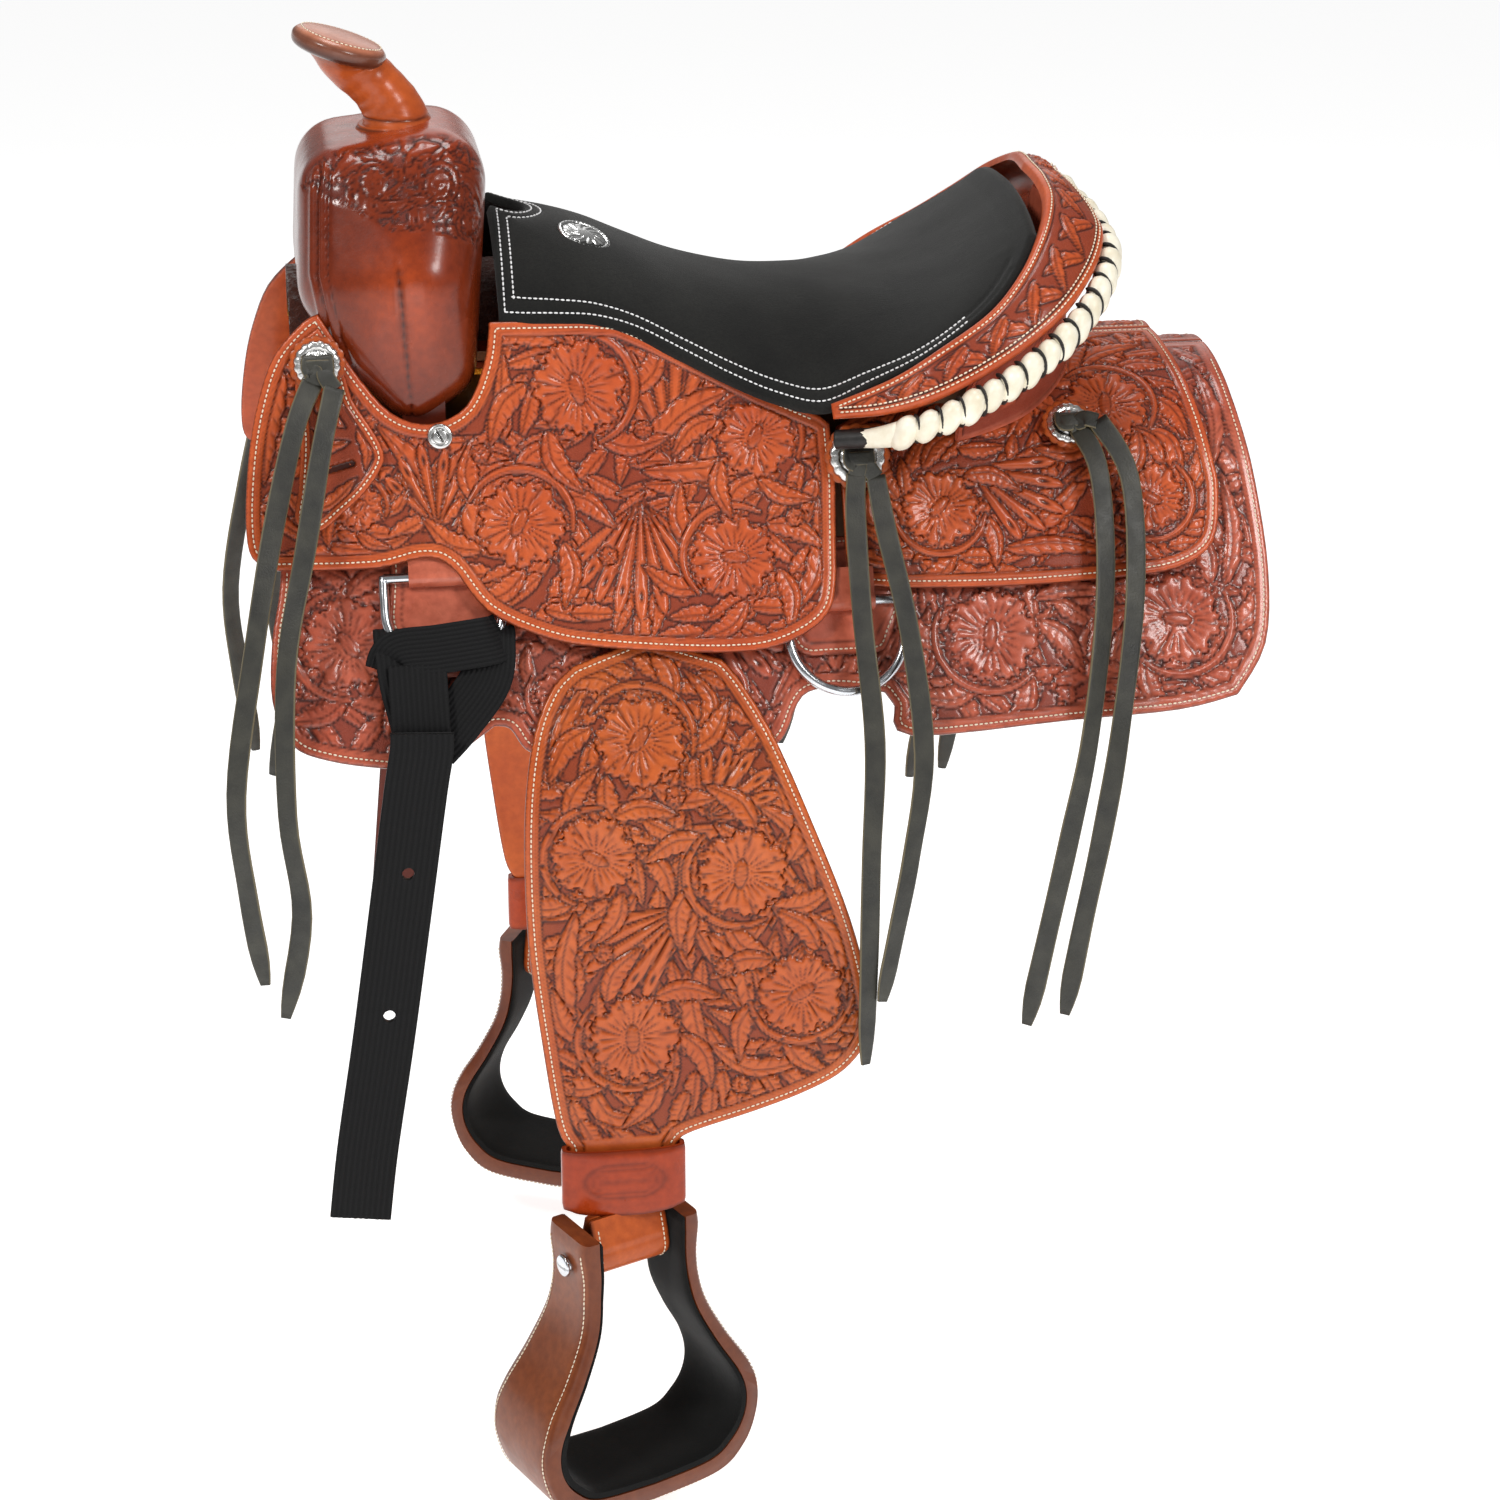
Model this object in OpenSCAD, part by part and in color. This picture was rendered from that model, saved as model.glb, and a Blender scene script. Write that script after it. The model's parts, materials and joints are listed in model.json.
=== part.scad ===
/* [Saddle] */
// Height of the seat's lowest point above the top of the horse's back
seat_low = 66; // [60:1:72]
// Height of the top of the cantle rim
cantle_top = 140; // [134:1:146]
// Radius of the arch that the skirts make over the horse's back
arch_r = 110; // [108:1:112]

/* [Leather] */
// Thickness of the skirt leather
skirt_t = 4.7; // [4:0.1:4.9]
// Thickness of the seat and rear jockeys
jockey_t = 4; // [3:0.1:4.2]
// Thickness of a fender and of its stirrup leather
fender_t = 5; // [4:0.1:5.5]
// Thickness of the fleece under the skirts
fleece_t = 9; // [6:0.5:9]

/* [Horn] */
// Diameter of the horn's cap
cap_d = 62; // [54:1:66]
// Thickness of the horn's cap
cap_t = 13; // [9:1:14]
// Tilt of the cap, front edge up
cap_tilt = 35; // [28:1:38]

/* [Rigging] */
// Inside width of a dee ring
dee_w = 70; // [64:1:72]
// Wire diameter of a dee ring
wire_d = 7; // [5:0.5:7]
// Radius of the punched tongue holes
hole_r = 3.5; // [2.5:0.5:4]

/* [Stirrup] */
// Depth of the stirrup's tread, front to back
tread_w = 76; // [60:1:80]
// Radius of the stirrup bolt's sleeve
sleeve_r = 8; // [7:0.5:9]
// Angle that the stirrup stands turned outward at rest
stirrup_turn = 25; // [0:1:30]

/* [Strings] */
// Width of a saddle string
string_w = 14; // [10:1:15]
// Thickness of a saddle string
string_t = 4; // [3:0.5:4]
// Diameter of the larger conchos
concho_d = 38; // [34:1:40]

/* [Hidden] */
$fn = 48;

leather = [0.72, 0.30, 0.12];
dark_leather = [0.52, 0.17, 0.08];
suede = [0.13, 0.13, 0.13];
steel = [0.78, 0.79, 0.80];
wood = [0.80, 0.66, 0.45];
gold_fleece = [0.82, 0.62, 0.12];
string_leather = [0.22, 0.23, 0.19];
rawhide = [0.90, 0.86, 0.76];

// Layers over the back, each an offset outward from the arch of radius arch_r
slope = 60;
fleece_out = 5;
skirt_in = fleece_out + 0.3;
skirt_out = skirt_in + skirt_t;
bar_in = skirt_out + 0.3;
bar_out = bar_in + 6.4;
rear_in = bar_out + 0.3;
fender_in = 13.6;
dee_h = skirt_out + 3.6 + wire_d / 2;
center_gap = 28;

// Section of the seat jockey's outer face, from the seat's edge down, as (y, z)
jockey_face = [[-86, 80], [-90, 63], [-97, 35], [-105, 8], [-114, -20], [-127, -50],
    [-145, -88], [-175.5, -138]];

// A point is on the plane below the arch at offset h and height z
function plane_y(h, z) = -(arch_r / 2 + 0.03 + h - 0.5 * z) / 0.866;

// Catmull-Rom curve through points, n steps in each stretch
function cr(a, b, c, d, t) = 0.5 * ((2 * b) + (c - a) * t + (2 * a - 5 * b + 4 * c - d) * t * t
    + (3 * b - a - 3 * c + d) * t * t * t);
function smooth(p, n) = let (m = len(p)) concat(
    [for (i = [0:m - 2]) for (k = [0:n - 1])
        cr(p[max(i - 1, 0)], p[i], p[i + 1], p[min(i + 2, m - 1)], k / n)], [p[m - 1]]);

// Offset of an open line of (y, z) points to its left by d
function line_normal(p, i) = let (
    a = p[max(i - 1, 0)], b = p[min(i + 1, len(p) - 1)], v = (b - a) / norm(b - a))
    [v[1], -v[0]];
function shifted(p, d) = [for (i = [0:len(p) - 1]) p[i] + d * line_normal(p, i)];
function backward(p) = [for (i = [len(p) - 1:-1:0]) p[i]];

// Closed mesh through a row of sections that have the same number of points
module loft(s) {
    m = len(s[0]);
    n = len(s);
    polyhedron(
        points = [for (r = s) for (p = r) p],
        faces = concat(
            [for (i = [0:n - 2]) for (j = [0:m - 1]) [i * m + j, (i + 1) * m + j, i * m + (j + 1) % m]],
            [for (i = [0:n - 2]) for (j = [0:m - 1])
                [i * m + (j + 1) % m, (i + 1) * m + j, (i + 1) * m + (j + 1) % m]],
            [[for (j = [0:m - 1]) j]],
            [[for (j = [m - 1:-1:0]) (n - 1) * m + j]]));
}

// Extrudes a (y, z) outline along X between x0 and x1
module along_x(x0, x1) {
    translate([x0, 0, 0]) rotate([90, 0, 90]) linear_extrude(x1 - x0) children();
}

// Extrudes an (x, z) outline along Y over the left side, y from y0 up to y1
module along_y(y0 = -300, y1 = 0) {
    translate([0, y1, 0]) rotate([90, 0, 0]) linear_extrude(y1 - y0) children();
}

// The side of the arch and its plane, filled inward of offset h
module arch_fill(h, x0, x1, low = -320) {
    r = arch_r + h;
    along_x(x0, x1) union() {
        translate([0, -arch_r]) circle(r, $fn = 96);
        polygon([[0, -arch_r], [-r * sin(slope), -arch_r + r * cos(slope)],
            [plane_y(h, low), low], [0, low]]);
    }
}

// One layer of the arch between two offsets, left half
module arch_layer(h0, h1, x0, x1, top_gap) {
    intersection() {
        difference() {
            arch_fill(h1, x0, x1);
            arch_fill(h0, x0 - 1, x1 + 1, -330);
        }
        translate([x0, -320, -300]) cube([x1 - x0, 320 - top_gap, 400]);
    }
}

module right_side() {
    mirror([0, 1, 0]) children();
}

// ---------------------------------------------------------------- outlines

skirt_rear = smooth([[344, 40], [348, -10], [358, -59], [362, -112], [355, -155], [333, -184]], 3);
skirt_low = smooth([[333, -184], [292, -191], [216, -194], [110, -198], [100, -180]], 3);
skirt_notch = smooth([[94, -172], [60, -168], [39, -172], [26, -193], [18, -200]], 3);
skirt_mid = smooth([[-132, -200], [-146, -194], [-155, -182], [-165, -180]], 3);
skirt_front = smooth([[-203, -203], [-238, -201], [-274, -195], [-297, -185], [-309, -160],
    [-306, -125], [-299, -94], [-296, -50], [-292, 0], [-290, 40]], 3);
skirt_outline = concat(skirt_rear, skirt_low, skirt_notch, skirt_mid, skirt_front);

jockey_front = smooth([[-266, 76], [-276, 70], [-296, 49], [-308, 19], [-315, -12], [-319, -50],
    [-316, -72], [-300, -80]], 3);
jockey_low = smooth([[-300, -80], [-238, -81], [-206, -76], [-188, -82], [-166, -108], [-128, -125],
    [-90, -132], [-25, -138], [15, -137], [44, -128], [60, -115], [65, -95]], 3);
jockey_back = [[69, -41], [69, -12], [60, -3], [30, 2], [0, 14], [-30, 29], [-60, 44], [-86, 51],
    [-157, 52]];
swell_notch = smooth([[-158, 50], [-161, 38], [-173, 14], [-197, 4], [-222, 12], [-244, 38],
    [-258, 62]], 3);
jockey_outline = concat(jockey_front, jockey_low, jockey_back, swell_notch);

rear_jockey_outline = concat(
    smooth([[304, 40], [314, 12], [320, -10], [327, -40], [329, -60], [322, -90], [296, -104],
        [256, -108]], 3),
    smooth([[256, -108], [176, -110], [84, -106], [74, -95], [73, -60], [73, -14]], 2),
    [[190, -14], [206, 5], [214, 40]]);

fender_front = smooth([[-112, -146], [-128, -160], [-142, -190], [-150, -240], [-150, -320],
    [-143, -395], [-134, -452], [-127, -468]], 3);
fender_back = smooth([[-54, -478], [-53, -469], [-42, -462], [0, -450], [35, -438], [62, -424],
    [78, -402], [80, -376], [66, -316], [40, -245], [18, -192], [-2, -160], [-14, -146]], 3);
fender_outline = concat(fender_front, [[-125, -516], [-55, -516]], fender_back);

// Middle of the fender's thickness, as (y, z), from its hinge down
fender_path = concat([[plane_y(16, -146), -146], [plane_y(16, -190), -190]],
    smooth([[-203, -215], [-211, -250], [-219, -330], [-225, -420], [-228, -470]], 3),
    [[-228, -516]]);

// Seat sections: x, half width, edge height, centre height
seat_stations = [
    [-150, 88, 63, 128], [-134, 90, 63, 122], [-110, 91, 63, 115], [-86, 92, 62, 106],
    [-60, 95, 55, 94], [-30, 101, 40, 81], [0, 110, 25, 72], [30, 119, 13, 67], [60, 127, 8, seat_low],
    [90, 138, 26, seat_low], [120, 145, 44, 68], [150, 142, 64, 80], [175, 130, 82, 98],
    [195, 108, 102, 118], [206, 88, 118, 132]];
// Inner and outer edges of the roll along the cantle, from the top to the left end
rim_inner = smooth([[216, 0, cantle_top], [218, -35, 138], [217, -65, 131], [207, -96, 117],
    [190, -122, 97], [166, -142, 76], [133, -151, 56], [100, -148, 35], [62, -134, 15]], 2);
rim_outer = smooth([[240, 0, 131], [247, -30, 126], [254, -62, 115], [252, -88, 107],
    [239, -116, 92], [216, -141, 73], [185, -156, 53], [152, -164, 36], [120, -164, 22],
    [92, -153, 12], [63, -138, 6]], 2);

stirrup_x = -90;
stirrup_y = -228;
bolt_z = -546;
leather_w = 58;

// String routes on the left side, from the concho to the free end
front_a = [[-272, -110, 36], [-285, -128, 10], [-302, -150, -50], [-318, -182, -120],
    [-334, -202, -210], [-330, -206, -280], [-322, -208, -343]];
front_b = [[-258, -114.4, 33], [-268, -134, 0], [-282, -162, -60], [-298, -190, -130],
    [-302, -206, -225], [-296, -210, -295], [-310, -212, -366]];
mid_a = [[80, -133, -34], [78, -144, -60], [78, -176, -120], [82, -206, -195],
    [77, -226, -270], [75, -233, -345], [73, -236, -415]];
mid_b = [[93, -132, -36], [97, -150, -66], [108, -184, -128], [114, -210, -204],
    [104, -224, -270], [94, -230, -320], [84, -234, -370]];
rear_a = [[234, -110, -16], [244, -132, -42], [242, -168, -110], [226, -208, -196],
    [212, -218, -265], [198, -222, -335], [186, -222, -400]];
rear_b = [[246, -112, -10], [264, -134, -44], [262, -170, -112], [246, -208, -196],
    [234, -220, -262], [222, -222, -330], [212, -222, -394]];

// ---------------------------------------------------------------- tree and horn

module tree_bars() {
    color(wood) for (s = [0, 1]) mirror([0, s, 0]) intersection() {
        arch_layer(bar_in, bar_out, -262, 232, center_gap);
        translate([-300, -300, -78]) cube([600, 300, 200]);
    }
}

// The swell's outline, shrunk evenly by d
module swell_form(d) {
    hull() for (s = [-1, 1]) {
        translate([-200, s * 80, 33]) sphere(20 - d, $fn = 32);
        translate([-238, s * 66, 78]) sphere(36 - d, $fn = 32);
        translate([-196, s * 72, 86]) sphere(36 - d, $fn = 32);
        translate([-241, s * 46, 140]) sphere(33 - d, $fn = 32);
        translate([-190, s * 36, 147]) sphere(35 - d, $fn = 32);
    }
}

// The gullet: a rounded tunnel along the middle, grown by d
module gullet(d, x0, x1) {
    along_x(x0, x1) union() {
        translate([0, 42]) circle(44 + d);
        translate([-44 - d, -40]) square([88 + 2 * d, 82]);
    }
}

// A leg of the fork down to its bar, grown by d
module fork_leg(d) {
    translate([-214 - d, -92 - d, -40]) cube([28 + 2 * d, 26 + 2 * d, 76]);
}

module tree_fork() {
    color(wood) difference() {
        union() {
            swell_form(5.2);
            for (s = [0, 1]) mirror([0, s, 0]) fork_leg(0);
        }
        gullet(0.4, -320, -100);
        for (s = [0, 1]) mirror([0, s, 0]) arch_fill(bar_out + 0.3, -300, -150);
        translate([-209, 0, 100]) cylinder(r = 11.3, h = 120);
    }
}

module swell_cover() {
    color(leather) difference() {
        swell_form(0);
        swell_form(4.8);
        gullet(4, -320, -100);
        for (s = [0, 1]) mirror([0, s, 0]) fork_leg(0.4);
        translate([-209, 0, 100]) cylinder(r = 26, h = 120);
    }
}

module gullet_pad() {
    color(gold_fleece) difference() {
        gullet(-0.2, -286, -118);
        gullet(-8, -290, -110);
        translate([-400, -100, -60]) cube([400, 200, 100]);
    }
}

// The horn's axis leans forward from the swell to the cap
module horn_post() {
    color(steel) difference() {
        union() {
            translate([-209, 0, 112]) cylinder(r = 11, h = 74);
            translate([-209, 0, 186]) rotate([0, -28, 0]) translate([0, 0, -6]) cylinder(r = 11, h = 42);
        }
        translate([-209, 0, 186]) rotate([0, -28, 0]) translate([0, 0, 36]) cylinder(r = 20, h = 40);
    }
}

module horn_wrap() {
    color(leather) difference() {
        union() {
            translate([-209, 0, 168]) cylinder(r1 = 25.6, r2 = 23, h = 16);
            translate([-209, 0, 184]) sphere(23);
            translate([-209, 0, 184]) rotate([0, -28, 0]) cylinder(r1 = 22, r2 = 16, h = 37);
        }
        translate([-209, 0, 112]) cylinder(r = 11.05, h = 74);
        translate([-209, 0, 186]) rotate([0, -28, 0]) translate([0, 0, -7]) cylinder(r = 11.05, h = 62);
        translate([-243, 0, 237]) rotate([0, cap_tilt, 0]) translate([0, 0, -cap_t / 2 - 0.3])
            cylinder(r = cap_d, h = 60);
        swell_form(4.8);
    }
}

module horn_cap() {
    r = cap_d / 2;
    color(leather) difference() {
        translate([-243, 0, 237]) rotate([0, cap_tilt, 0]) rotate_extrude($fn = 64) union() {
            square([r - cap_t / 2, cap_t / 2]);
            translate([0, -cap_t / 2]) square([r - cap_t / 2, cap_t]);
            translate([r - cap_t / 2, 0]) intersection() {
                circle(cap_t / 2);
                translate([0, -cap_t]) square([cap_t, 2 * cap_t]);
            }
        }
        translate([-209, 0, 186]) rotate([0, -28, 0]) translate([0, 0, -7]) cylinder(r = 11.05, h = 43.3);
    }
}

// ---------------------------------------------------------------- seat and cantle

// Seat section at station i: over the top and back underneath, top lowered by d, t thick
function seat_line(q, d, inset) = [for (k = [-8:8]) let (u = k / 8)
    [q[0], u * (q[1] - inset), q[2] - d + (q[3] - q[2]) * (1 - pow(abs(u), 2.3))]];
function seat_section(q, d0, d1, inset) = concat(seat_line(q, d0, inset),
    backward(seat_line(q, d1, inset + 1)));

module hand_hole(r) {
    translate([-141, 0, 40]) cylinder(r = r, h = 140);
    translate([-180, -r, 40]) cube([39, 2 * r, 140]);
}

module seat_cover() {
    color(suede) difference() {
        loft([for (q = seat_stations) seat_section(q, 0, 9, 0)]);
        hand_hole(19);
    }
}

// Height of the arch's outer face at offset h, across the back
function arch_z(y, h) = -arch_r + sqrt(pow(arch_r + h, 2) - y * y);

// A block under the seat: its top follows the seat, its foot the bars, with the channel left open
function block_section(q, w) = concat(
    seat_line([q[0], w, max(q[2], q[3] - 36), q[3]], 10, 0),
    [for (u = [1, 0.8, 0.6, 0.4]) [q[0], u * w, arch_z(u * w, bar_out + 0.5)]],
    [[q[0], 22, 38], [q[0], -22, 38]],
    [for (u = [-0.4, -0.6, -0.8, -1]) [q[0], u * w, arch_z(u * w, bar_out + 0.5)]]);

module ground_seat() {
    color(dark_leather) loft([for (i = [2:8]) block_section(seat_stations[i], 78)]);
}

module tree_cantle() {
    color(wood) loft([for (q = [[60.5, 74, 20, seat_low - 1], [90, 76, 24, seat_low - 1],
        [120, 78, 30, 67], [150, 78, 54, 79], [175, 76, 72, 96], [195, 70, 92, 114],
        [204, 60, 104, 124]]) block_section(q, q[1])]);
}

function both_sides(p) = concat(
    [for (i = [len(p) - 1:-1:1]) [p[i][0], -p[i][1], p[i][2]]], p);
function at_part(p, t) = let (s = t * (len(p) - 1), i = min(floor(s), len(p) - 2))
    p[i] + (p[i + 1] - p[i]) * (s - i);

// A strip between two edges of the rim, d0 to d1 below their surface
module rim_strip(inner, outer, f0, f1, d0, d1, steps) {
    a = both_sides(inner);
    b = both_sides(outer);
    loft([for (k = [0:steps]) let (
        t = k / steps,
        p = at_part(a, t),
        q = at_part(b, t),
        down = [-0.3, 0, -1] * 0.96)
        [p + (q - p) * f0 + down * d0, p + (q - p) * f1 + down * d0,
            p + (q - p) * f1 + down * d1, p + (q - p) * f0 + down * d1]]);
}

module cantle_roll() {
    color(leather) rim_strip(rim_inner, rim_outer, 0.1, 1, 0, 7, 40);
}

// The tube of rawhide that the lacing covers, under the roll's outer edge
module cantle_lacing() {
    r = 8.5;
    path = both_sides(rim_outer);
    color(rawhide) loft([for (k = [0:40]) let (
        c = at_part(path, k / 40) + [3, 0, -16.5],
        o = [c[0] - 90, c[1], 0] / norm([c[0] - 90, c[1], 0]))
        [for (a = [0:45:315]) c + r * (o * cos(a) + [0, 0, sin(a)])]]);
}

// The wall behind the cantle, from under the roll down onto the rear jockeys
module cantle_back() {
    path = both_sides(rim_outer);
    color(leather) loft([for (k = [8:32]) let (
        c = at_part(path, k / 40),
        o = [c[0] - 90, c[1], 0] / norm([c[0] - 90, c[1], 0]),
        p = c - o * 19 + [0, 0, -12],
        y = p[1] * 0.66,
        q = [p[0] - 3, y, arch_z(y, rear_in + jockey_t + 1.2)])
        [p, q, q + o * 5 + [0, 0, -0.6], p + o * 5]]);
}

module seat_badge() {
    color(steel) translate([-88, -30, 106]) rotate([24, 20, 0]) translate([0, 0, -1])
        linear_extrude(3) polygon([for (a = [0:12:348]) [17 * cos(a), 12 * sin(a)]]);
}

// ---------------------------------------------------------------- jockeys and skirts

module seat_jockey_left() {
    section = concat(jockey_face, backward(shifted(jockey_face, -jockey_t)));
    color(leather) difference() {
        intersection() {
            along_x(-330, 80) polygon(section);
            along_y(-300, 0) polygon(jockey_outline);
        }
        for (p = [[-268, 44], [82, -25]]) translate([p[0], 0, p[1]]) rotate([90, 0, 0]) cylinder(r = 5, h = 300);
    }
}

module rear_jockey_left() {
    color(leather) intersection() {
        arch_layer(rear_in, rear_in + jockey_t, 60, 340, 1.2);
        along_y(-300, 0) polygon(rear_jockey_outline);
    }
}

module skirt_left() {
    color(leather) difference() {
        intersection() {
            arch_layer(skirt_in, skirt_out, -330, 370, 1.2);
            along_y(-300, 0) polygon(skirt_outline);
        }
        translate([-400, -center_gap, -100]) cube([580, 60, 200]);
    }
}

module fleece_left() {
    color(gold_fleece) difference() {
        intersection() {
            arch_layer(fleece_out - fleece_t, fleece_out, -330, 370, 1.2);
            along_y(-300, 0) polygon(skirt_outline);
        }
        translate([-400, -center_gap, -100]) cube([580, 60, 200]);
    }
}

// A flat plate on the sloping side between two offsets, inside an (x, z) outline
module side_plate(h0, h1, outline) {
    intersection() {
        arch_layer(h0, h1, -340, 340, 40);
        along_y(-300, 0) polygon(outline);
    }
}

// The rigging plates hold both dees of a side; their folded loops end above the rings
module rigging_plates() {
    color(dark_leather) for (s = [0, 1]) mirror([0, s, 0]) difference() {
        side_plate(skirt_out + 0.3, skirt_out + 3.2,
            [[-225, -79], [-230, -120], [-205, -150], [-180, -150], [-160, -120], [-150, -118],
            [20, -120], [40, -148], [95, -148], [110, -116], [110, -79]]);
    }
}

module latigo_keeper() {
    face = shifted(jockey_face, 0.3);
    section = concat(shifted(jockey_face, 3.8), backward(face));
    outline = smooth([[-266, 66], [-252, 41], [-246, 21], [-234, 2], [-228, -12], [-231, -22],
        [-242, -35], [-256, -46], [-274, -57], [-287, -50], [-284, -30], [-281, 0], [-284, 30],
        [-280, 58]], 3);
    color(leather) difference() {
        intersection() {
            along_x(-330, 0) polygon(section);
            along_y(-300, 0) polygon(outline);
        }
        translate([-261, 0, -20]) rotate([0, -14, 0]) translate([-14, -200, -2.5]) cube([28, 200, 5]);
        translate([-268, 0, 44]) rotate([90, 0, 0]) cylinder(r = 5, h = 300);
    }
}

// A concho and its leather rosette, standing on the side at (x, y, z), tilted by a
module concho(p, a, d) {
    translate(p) rotate([90 + a, 0, 0]) union() {
        cylinder(r = d / 2, h = 2.5);
        translate([0, 0, 2.4]) cylinder(r1 = d / 2 - 4, r2 = d / 2 - 9, h = 2.6);
    }
}

module conchos() {
    color(steel) for (s = [0, 1]) mirror([0, s, 0]) {
        concho([-268, -98.9, 45], -14, concho_d - 6);
        concho([82, -123, -25], -18, concho_d);
        concho([229, -100, -16], -42, concho_d - 8);
    }
}

module jockey_screws() {
    color(steel) for (s = [0, 1]) mirror([0, s, 0])
        translate([-189, -111, -6]) rotate([70, 0, 0]) union() {
            cylinder(r = 8.5, h = 1.2);
            cylinder(r = 4, h = 2.6);
        }
}

// ---------------------------------------------------------------- rings and straps

// A dee: straight bar on top, round bow below, lying along the side's slope
module dee(x, z) {
    r = dee_w / 2 + wire_d / 2;
    w = wire_d / 2;
    translate([x, plane_y(dee_h, z), z]) rotate([slope - 90, 0, 0]) union() {
        translate([-r, 0, 0]) rotate([0, 90, 0]) cylinder(r = w, h = 2 * r);
        for (s = [-1, 1]) translate([s * r, 0, 0]) union() {
            sphere(w);
            translate([0, 0, -22]) cylinder(r = w, h = 22);
        }
        translate([0, 0, -22]) rotate([90, 0, 0]) rotate([0, 0, 180]) rotate_extrude(angle = 180)
            translate([r, 0]) circle(w);
    }
}

module front_dee_left() {
    color(steel) dee(-194, -91);
}

module rear_dee_left() {
    color(steel) dee(70, -116);
}

// The wraps and knot of a strap in front of a dee's bow, with a tongue inside the bow
module strap_knot(w) {
    translate([-194, plane_y(dee_h, -91), -91]) rotate([slope - 90, 0, 0]) union() {
        translate([-w / 2, -22, -105]) cube([w, 17.7, 67]);
        translate([-25, -4.6, -44]) cube([50, 7.4, 10]);
    }
}

// The hanging end of a strap, flat, with tongue holes punched through
module strap_tail(outline, holes) {
    along_y(-208, -203) difference() {
        polygon(outline);
        for (q = holes) translate(q) circle(hole_r);
    }
}

module latigo_knot() {
    color(suede) strap_knot(66);
}

module latigo() {
    color(suede) strap_tail(
        [[-193, -174.5], [-199, -215], [-212, -300], [-226, -390], [-239, -470], [-246, -526],
        [-288, -519], [-281, -470], [-267, -390], [-253, -300], [-240, -215], [-234, -174.5]],
        [[-226, -270], [-242, -372]]);
}

module off_billet_knot() {
    color(dark_leather) right_side() strap_knot(50);
}

module off_billet() {
    color(dark_leather) right_side() strap_tail(
        [[-176, -174.5], [-204, -478], [-224, -500], [-240, -478], [-212, -174.5]],
        [for (k = [0:4]) [-205.5 - 3.7 * k, -300 - 40 * k]]);
}

// A flat string along its route, tapered at the free end
module string(p) {
    n = len(p);
    color(string_leather) loft([for (i = [0:n - 1]) let (
        v = p[min(i + 1, n - 1)] - p[max(i - 1, 0)],
        t = v / norm(v),
        a = cross(t, [0, 1, 0]) / norm(cross(t, [0, 1, 0])),
        b = cross(a, t),
        w = (i == n - 1 ? 0.35 : 0.5) * string_w)
        [for (k = [0:7]) p[i] - a * w * cos(k * 45) + b * string_t / 2 * sin(k * 45)]]);
}

// ---------------------------------------------------------------- fender and stirrup

module fender_top_left() {
    color(leather) intersection() {
        arch_layer(fender_in, fender_in + fender_t, -140, 0, 40);
        along_y(-300, 0) polygon([[-112, -145.4], [-14, -145.4], [-22, -118], [-40, -84], [-90, -84],
            [-104, -118]]);
    }
}

module fender_left() {
    t = fender_t / 2;
    path = fender_path;
    color(leather) intersection() {
        along_x(-170, 100) polygon(concat(shifted(path, t), backward(shifted(path, -t))));
        along_y(-300, 0) polygon(fender_outline);
    }
}

// The strap buckled round the fender's neck
module hobble_left() {
    color(dark_leather) translate([stirrup_x, stirrup_y, -513]) difference() {
        translate([-42, -7.5, 0]) cube([84, 15, 44]);
        translate([-38, -4, -1]) cube([76, 8, 46]);
    }
}

// Places the stirrup's parts: turned outward, centred on the bolt
module at_stirrup() {
    translate([stirrup_x, stirrup_y, bolt_z]) rotate([0, 0, stirrup_turn]) children();
}

module stirrup_leather_left() {
    color(leather) at_stirrup() difference() {
        union() {
            rotate([0, 90, 0]) cylinder(r = sleeve_r + 4.6, h = leather_w, center = true);
            translate([-leather_w / 2, -5, 0]) cube([leather_w, 10, 29.5]);
        }
        rotate([0, 90, 0]) cylinder(r = sleeve_r + 0.05, h = leather_w + 2, center = true);
    }
}

// Half outline of the bell, from the top of a branch to the middle of the tread
bell_outer = smooth([[45, 24], [46, 14], [44, -10], [48, -40], [62, -70], [79, -98], [86, -120],
    [84, -142], [74, -164], [52, -180], [0, -184]], 3);
bell_inner = smooth([[33, 24], [33, 14], [33, -10], [38, -42], [52, -73], [68, -101], [74, -120],
    [72, -138], [62, -154], [44, -165], [0, -168]], 3);
bell_lining = smooth([[30.5, 20], [30.5, -10], [34.5, -42], [48, -73], [63.5, -101], [69, -120],
    [67, -136], [58, -149], [42, -159], [0, -162]], 3);
function full(p) = concat(p, [for (i = [len(p) - 2:-1:0]) [-p[i][0], p[i][1]]]);

// Depth of the bell: narrow at the top, full at the tread
module bell_depth() {
    d = tread_w / 2;
    rotate([90, 0, 90]) translate([0, 0, -100]) linear_extrude(200)
        polygon([[-25, 26], [-26, -20], [-d, -110], [-d, -190], [d, -190], [d, -110], [26, -20], [25, 26]]);
}

module bell(outer, inner) {
    intersection() {
        rotate([90, 0, 0]) translate([0, 0, -60]) linear_extrude(120)
            polygon(concat(full(outer), backward(full(inner))));
        bell_depth();
    }
}

module stirrup_left() {
    color(leather) at_stirrup() difference() {
        bell(bell_outer, bell_inner);
        rotate([0, 90, 0]) cylinder(r = 5.05, h = 200, center = true);
    }
}

module stirrup_lining_left() {
    color(suede) at_stirrup() difference() {
        bell([for (p = bell_inner) p - [p[0] > 0 ? 0.15 : 0, -0.15]], bell_lining);
        rotate([0, 90, 0]) cylinder(r = 5.05, h = 200, center = true);
    }
}

module stirrup_bolt_left() {
    color(steel) at_stirrup() rotate([0, 90, 0]) union() {
        cylinder(r = 5, h = 96, center = true);
        cylinder(r = sleeve_r, h = 60, center = true);
        for (s = [-1, 1]) translate([0, 0, s * 49]) cylinder(r = 8, h = 4, center = true);
    }
}

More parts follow.
